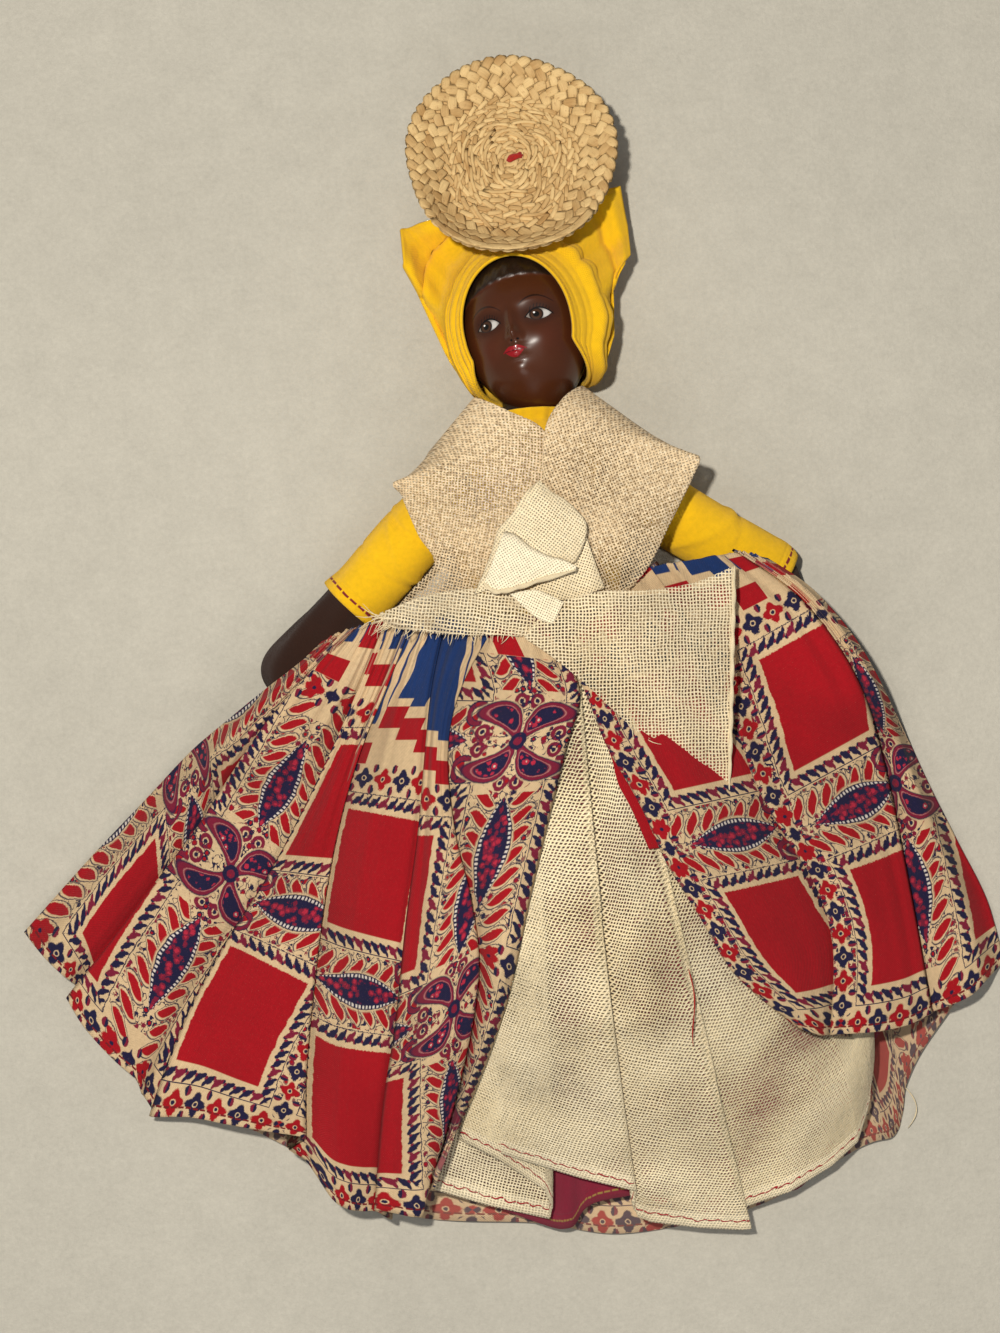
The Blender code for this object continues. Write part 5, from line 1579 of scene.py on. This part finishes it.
def add_arm(number, at, heading, slope, long, sleeve, bend, cloth, creases):
    """An arm from its shoulder at, pointing along heading, with a sleeve of that length in mm."""
    place = Matrix.Translation(Vector(at) * MM) @ Euler((0, slope, heading)).to_matrix().to_4x4()
    bpy.ops.mesh.primitive_uv_sphere_add(segments=60, ring_count=60, radius=1)
    arm = bpy.context.object
    arm.name = "cloth_arm_" + number
    root = ARM_WIDTH / long
    for v in arm.data.vertices:
        share = (1 + root) * 0.5 * (v.co.z / v.co.length + 1) - root
        angle = math.atan2(v.co.y, v.co.x)
        p = arm_spot(long, share, angle, 0.25 * math.sin(5 * angle + 12 * share), bend)
        p.z += 0.5 * bell(share - 0.74, 0.035) * math.sin(angle) * -1
        v.co = place @ (p * MM)
    arm.data.uv_layers[0].name = "flat"
    for loop in arm.data.uv_layers[0].data:
        loop.uv = (loop.uv[0] * 42, loop.uv[1] * long + 20)
    arm.data.materials.append(brown_cloth)
    bpy.ops.object.shade_smooth()
    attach(arm, "arm_" + number)
    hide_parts("arm_" + number)
    rows = []
    start = -root * 0.92
    for k in range(71):
        t = k / 70
        share = start + (sleeve / long - start) * t ** 1.2
        row = []
        for m in range(96):
            angle = 2 * math.pi * m / 96
            flare = 1.0 + 0.7 * smooth(share * 3)
            for where, turn, wide, deep, lean in creases:
                flare += deep * bell(t - where - lean * math.cos(angle - turn), wide)
            flare += 0.16 * math.sin(3 * angle + 9 * t)
            flare += 0.45 * smooth((t - 0.9) / 0.1) * abs(math.cos(angle))
            row.append(place @ (arm_spot(long, share, angle, flare, bend) * MM))
        rows.append(row)
    made = sheet_from(
        "sleeve_" + number + "_cloth", rows, (cloth,), -0.6 * MM,
        lambda k, m: (m / 96 * 46, (1 - (k / 70) ** 1.2) * sleeve), True,
    )
    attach(made, "arm_" + number)
    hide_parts("sleeve_" + number)


# Creases across a sleeve: place along it, side, half width, height, slant
SLEEVE_CREASES = (
    (0.30, 1.2, 0.020, 0.7, 0.10), (0.42, 2.2, 0.016, -0.6, 0.07), (0.55, 0.6, 0.022, 0.5, 0.12),
    (0.70, 1.8, 0.014, -0.4, 0.05),
)
SLOPE = math.radians(8)
for side, number, heading, long, sleeve, bend in (
    (-1, "left_a", LEFT_HEADING, 67, 36, 0), (1, "right_a", math.radians(-35.5), 68, 47, -14),
):
    add_arm(
        number, (side * SHOULDER[0], SHOULDER[1], SHOULDER[2]), heading, SLOPE, long, sleeve, bend,
        yellow_stitched, SLEEVE_CREASES,
    )
for side, number in ((-1, "left_b"), (1, "right_b")):
    add_arm(
        number, (side * SHOULDER[0], -SHOULDER[1], HIDDEN_SHOULDER_Z),
        -math.pi / 2 + side * math.radians(20), 0, 60, 40, 0,
        maroon_cloth, SLEEVE_CREASES[:2],
    )

# The shawl is a length of crepe gauze round the neck: dense at the shoulders and loose at its
# ends, which cross at the waist under a folded knot and hang down as two frayed tails.
shawl_cloth = gauze("shawl_gauze", (0.80, 0.615, 0.385), 0.78, 0.33, (0.70, 0.52, 0.31), dense=13)
# Across the shawl from its left end round the neck to its right end: the inner edge and the
# outer edge, each as x, y and height in mm
SHAWL_INNER = (
    (4, 4.5, 33), (4.4, 11, 33.2), (5, 17.7, 33.5), (5, 26, 33.8), (4.7, 34.3, 34), (3.4, 48.5, 34.3),
    (-5.7, 55.1, 32.2), (-13, 59.3, 26), (-14, 58.8, 17.2), (-12, 58, 8.3), (-7.8, 57.2, 2), (0, 56.7, 0.8),
    (7.8, 57.2, 2), (12, 58, 8.3), (14, 59, 17.2), (13.6, 60, 26), (8.4, 56.7, 33.8), (3.2, 49, 36.9),
    (1.6, 34.3, 37), (1.6, 20, 36.8), (2, 4.5, 36.2),
)
SHAWL_OUTER = (
    (-41.5, 5.0, 23.4), (-33.4, 12.4, 27.8), (-27.6, 18.4, 30.4), (-31.0, 25.5, 29.8), (-33.4, 32.5, 29.4),
    (-34.6, 36.4, 29.2), (-36.4, 39.0, 29.6), (-32.6, 40.6, 28.0), (-28.2, 44.4, 25.0),
    (-26.4, 47, 21.6), (-26.4, 46.8, 15.6), (-26, 43.9, 7.3), (-21.8, 33.8, 0.9), (0, 20, 0.8),
    (21.8, 33.8, 0.9), (26, 43.9, 7.3), (27.6, 47, 15.6), (29.4, 47.2, 21.8), (33.0, 43.6, 26),
    (38.4, 40.6, 28.1), (42.0, 38.8, 29.4), (39.8, 34.2, 29.8), (33.6, 24, 31.2), (25.6, 11.4, 32.6),
    (16, 3.4, 34),
)


def shawl_point(u, t):
    """A place on the shawl: it swells in front, its outer edge curls and its corners stand up."""
    inner, outer = Vector(on_row(SHAWL_INNER, u)), Vector(on_row(SHAWL_OUTER, u))
    point = inner.lerp(outer, t)
    front = smooth((abs(u - 0.5) - 0.2) / 0.15)
    point.z += 1.5 * front * math.sin(math.pi * t) ** 0.8
    curl = smooth((t - 0.9) / 0.1)
    corner = bell(u - 0.25, 0.02) + bell(u - 0.833, 0.02)
    point.z += 1.6 * curl * corner + 0.8 * curl * math.sin(u * 60) * front
    point.z += front * 0.55 * bell(t - 0.55 - 0.8 * (0.16 - u), 0.05) * bell(u - 0.1, 0.09)
    point.z += front * 0.7 * bell(t - 0.30 - 2.4 * (u - 0.93), 0.05) * bell(u - 0.93, 0.06)
    point.z += front * 0.3 * math.sin(40 * u + 9 * t) * math.sin(math.pi * t)
    return point * MM


rows = grid(60, 220, shawl_point)


def shawl_flat(k, m):
    """The shawl's threads run flat over the chest, turned to each side."""
    turn = math.radians(20) * math.cos(math.pi * m / 220)
    x, y = rows[k][m].x / MM, rows[k][m].y / MM
    return x * math.cos(turn) - y * math.sin(turn), x * math.sin(turn) + y * math.cos(turn) + 2


shawl = sheet_from("gauze_shawl", rows, (shawl_cloth,), 0.35 * MM, shawl_flat)
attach(shawl, "torso")
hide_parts("shawl_a")


def laid_cloth(name, top, low, cloth, across, down, shape, grain):
    """A small cloth between two rows of (pixel x, pixel y, height in mm), its threads turned by grain."""
    first = [spot(p[:2], p[2] * MM) for p in top]
    last = [spot(p[:2], p[2] * MM) for p in low]

    def laid_point(u, t):
        point = Vector(on_row(first, u)).lerp(Vector(on_row(last, u)), t)
        point.z += shape(u, t) * MM
        return point

    rows = grid(down, across, laid_point)
    threads = Matrix.Rotation(math.radians(grain), 3, "Z")

    def flats(k, m):
        place = threads @ rows[k][m]
        return place.x / MM, place.y / MM - 90

    made = sheet_from(name, rows, (cloth,), 0.35 * MM, flats)
    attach(made, "torso")
    return made, rows


# The shawl's two ends leave the knot as tails, the left one narrow and the right one a wide
# triangle. Their edges are cut and have frayed into short bent threads.
tail_cloth = gauze("tail_gauze", (0.92, 0.77, 0.52), 0.86, 0.31, (0.86, 0.70, 0.44), patchy=0.22)
thread_cloth = plain_cloth("thread_cloth", (0.84, 0.70, 0.46), 0.3, 0.3)


def fringe(name, points, outward, count, longest, seed):
    """Threads that stray from a frayed edge, each a thin bent strand."""
    chance = random.Random(seed)
    bm = bmesh.new()
    layer = bm.loops.layers.uv.new("flat")
    for i in range(count):
        share = (i + chance.random()) / count
        at = Vector(on_row(points, share))
        way = Vector(outward).normalized()
        way.rotate(Euler((0, 0, chance.uniform(-0.5, 0.5))))
        long = longest * chance.uniform(0.25, 1.0) * MM
        bend = chance.uniform(-0.5, 0.5)
        side = Vector((-way.y, way.x, 0))
        rings = []
        for j in range(5):
            f = j / 4
            centre = at + way * long * (f - 0.15) + side * long * bend * f * f
            centre.z += (0.3 * math.sin(3 * f + i) - 0.8 * f * f) * MM
            ring = []
            for n in range(4):
                a = math.pi / 2 * n
                r = 0.14 * (1 - 0.5 * f) * MM
                around = side * r * math.cos(a) + Vector((0, 0, r * math.sin(a)))
                ring.append(bm.verts.new(centre + around))
            rings.append(ring)
        add_tube(bm, layer, rings, lambda at: (i * 3.1, 3))
    bmesh.ops.recalc_face_normals(bm, faces=bm.faces)
    made = make_object(name, bm, thread_cloth)
    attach(made, "torso")


tail_left, rows = laid_cloth(
    "shawl_tail_left",
    ((530, 590, 38.8), (480, 588, 37.6), (425, 596, 33), (380, 614, 26.5)),
    ((540, 637, 39.8), (495, 635, 38.2), (445, 634, 33.8), (392, 627, 27)),
    tail_cloth, 90, 34, lambda u, t: 1.0 * math.sin(math.pi * t) + 0.5 * math.sin(26 * u + 5 * t),
    12,
)
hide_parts("shawl_tail_left_a")
fringe("left_tail_threads", [row[-1] for row in rows[::8]], (-1, -0.25, 0), 30, 7.5, 5)
fringe("left_tail_hem_threads", rows[-1][20::10], (-0.3, -1, 0), 34, 3.4, 8)


def tail_shape(u, t):
    folds = 0.9 * math.sin(math.pi * t) + 0.7 * bell(u - 0.62 - 0.2 * t, 0.07) * smooth(t * 3)
    twist = 1.6 * bell(u - 0.97, 0.05) * bell(t, 0.22)
    return folds + twist + 0.35 * math.sin(19 * u - 6 * t) * math.sin(math.pi * min(1, t * 1.2))


tail_right, rows = laid_cloth(
    "shawl_tail_right",
    ((540, 616, 42.6), (563, 601, 43), (602, 591, 41.8), (645, 590, 39.6), (692, 583, 35.6),
     (734, 566, 31.8)),
    ((524, 638, 42.6), (548, 654, 43.2), (583, 682, 43.6), (632, 727, 42.6), (688, 770, 37.4),
     (729, 790, 33.4)),
    tail_cloth, 120, 90, tail_shape, 4,
)
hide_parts("shawl_tail_right_a")
fringe("right_tail_threads", rows[-1][70::8], (0.35, -1, 0), 44, 6.0, 3)


def rolled_edge(name, points, radius, turns, cloth):
    """A cloth's rolled or twisted edge, or one loose thread, as a thin strand along points."""
    bm = bmesh.new()
    layer = bm.loops.layers.uv.new("flat")
    rings = []
    count = len(points)
    for j, at in enumerate(points):
        ahead = points[min(j + 1, count - 1)] - points[max(j - 1, 0)]
        side = Vector((-ahead.y, ahead.x, 0)).normalized()
        up = ahead.cross(side).normalized()
        f = j / (count - 1)
        ring = []
        for n in range(10):
            a = 2 * math.pi * n / 10
            r = radius * (1 + 0.25 * math.sin(2 * a + turns * f * 6.28))
            r *= min(1.0, 0.35 + 5 * min(f, 1 - f))
            ring.append(bm.verts.new(at + (side * math.cos(a) + up * math.sin(a)) * r * MM))
        rings.append(ring)
    add_tube(bm, layer, rings, lambda at: at.xy)
    bmesh.ops.recalc_face_normals(bm, faces=bm.faces)
    made = make_object(name, bm, cloth)
    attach(made, "torso")


rolled_edge(
    "right_tail_edge", [row[-1] + Vector((0, 0, 0.2 * MM)) for row in rows], 0.55, 9,
    thread_cloth,
)

# The knot is the shawl's own cloth folded on itself: the end that comes out under it, the
# knot, the flap folded down over it with a rolled edge, and a small tab below.
knot_cloth = gauze("knot_gauze", (0.86, 0.72, 0.48), 0.72, 0.20, (0.80, 0.65, 0.40), patchy=0.2)
dense_cloth = gauze("dense_gauze", (0.93, 0.82, 0.60), 0.66, 0.15, (0.88, 0.74, 0.50), patchy=0.2)
laid_cloth(
    "shawl_under_fold",
    ((520, 560, 38.4), (560, 548, 39.0), (586, 536, 38.8)),
    ((524, 592, 39.2), (566, 600, 39.8), (605, 588, 38.0)),
    knot_cloth, 36, 24, lambda u, t: 0.7 * math.sin(math.pi * u) + 0.4 * math.sin(14 * u + 3 * t),
    25,
)
bow, _ = laid_cloth(
    "shawl_knot",
    ((540, 480, 40.2), (550, 490, 40.8), (566, 500, 41.2), (582, 516, 41.2), (587, 528, 41.2),
     (584, 545, 41.0), (576, 562, 40.6)),
    ((536, 483, 40), (524, 494, 40.3), (513, 512, 40.4), (498, 530, 40.4), (493, 546, 40.2),
     (486, 566, 40.0), (474, 594, 39.0)),
    knot_cloth, 44, 40,
    lambda u, t: 2.2 * math.sin(math.pi * t) ** 0.8 * (0.3 + u) - 0.3 * math.sin(9 * u + 6 * t),
    40,
)
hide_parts("shawl_bow_a")


def flap_shape(u, t):
    swell = 1.1 * math.sin(math.pi * t) * math.sin(math.pi * min(1, u + 0.25))
    return swell - 1.4 * smooth((0.08 - t) / 0.08)


_, rows = laid_cloth(
    "shawl_knot_fold",
    ((504, 531, 43.0), (516, 534, 43.8), (530, 545, 44.3), (549, 555, 44.4), (564, 559, 44.0),
     (577, 566, 43.4)),
    ((484, 583, 41.6), (493, 591, 41.9), (504, 591, 42.2), (520, 587, 42.6), (541, 580, 42.9),
     (576, 570, 43.0)),
    dense_cloth, 44, 26, flap_shape, 62,
)
rolled_edge(
    "knot_rolled_edge", [p + Vector((0, 0, 0.1 * MM)) for p in rows[-1]], 0.6, 5,
    thread_cloth,
)
tab, _ = laid_cloth(
    "shawl_tab", ((510, 594, 42.8), (536, 590, 43.8), (564, 602, 44.2)),
    ((531, 614, 43.4), (540, 620, 44.2), (553, 624, 44.4)),
    dense_cloth, 20, 16, lambda u, t: 0.4 * math.sin(math.pi * t), 30,
)
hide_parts("shawl_tab_a")

# Two loose threads: a red one on the apron, pulled from the right side of the opening, and one
# from the skirt's hem at the lower right, lying on the floor in a loop.
points = []
for k in range(25):
    t = k / 24
    place = spot((684 + 9 * t + 3 * math.sin(5 * t), 962 + 78 * t), 20 * MM)
    base, _lift = front_height(place.x / MM, place.y / MM)
    points.append(Vector((place.x, place.y, (base + 2.6) * MM)))
rolled_edge("loose_red_thread", points, 0.17, 3, red_yarn)
points = []
for k in range(25):
    t = k / 24
    points.append(spot((893 + 21 * math.sin(2.6 * t) + 4 * t, 1076 + 52 * t), (1.9 - 0.7 * t) * MM))
rolled_edge("loose_hem_thread", points, 0.16, 3, thread_cloth)

# The solids' box, with its corners rounded.
CAD_BOX = [[round(v, 6) for v in corner] for corner in CAD_BOX]
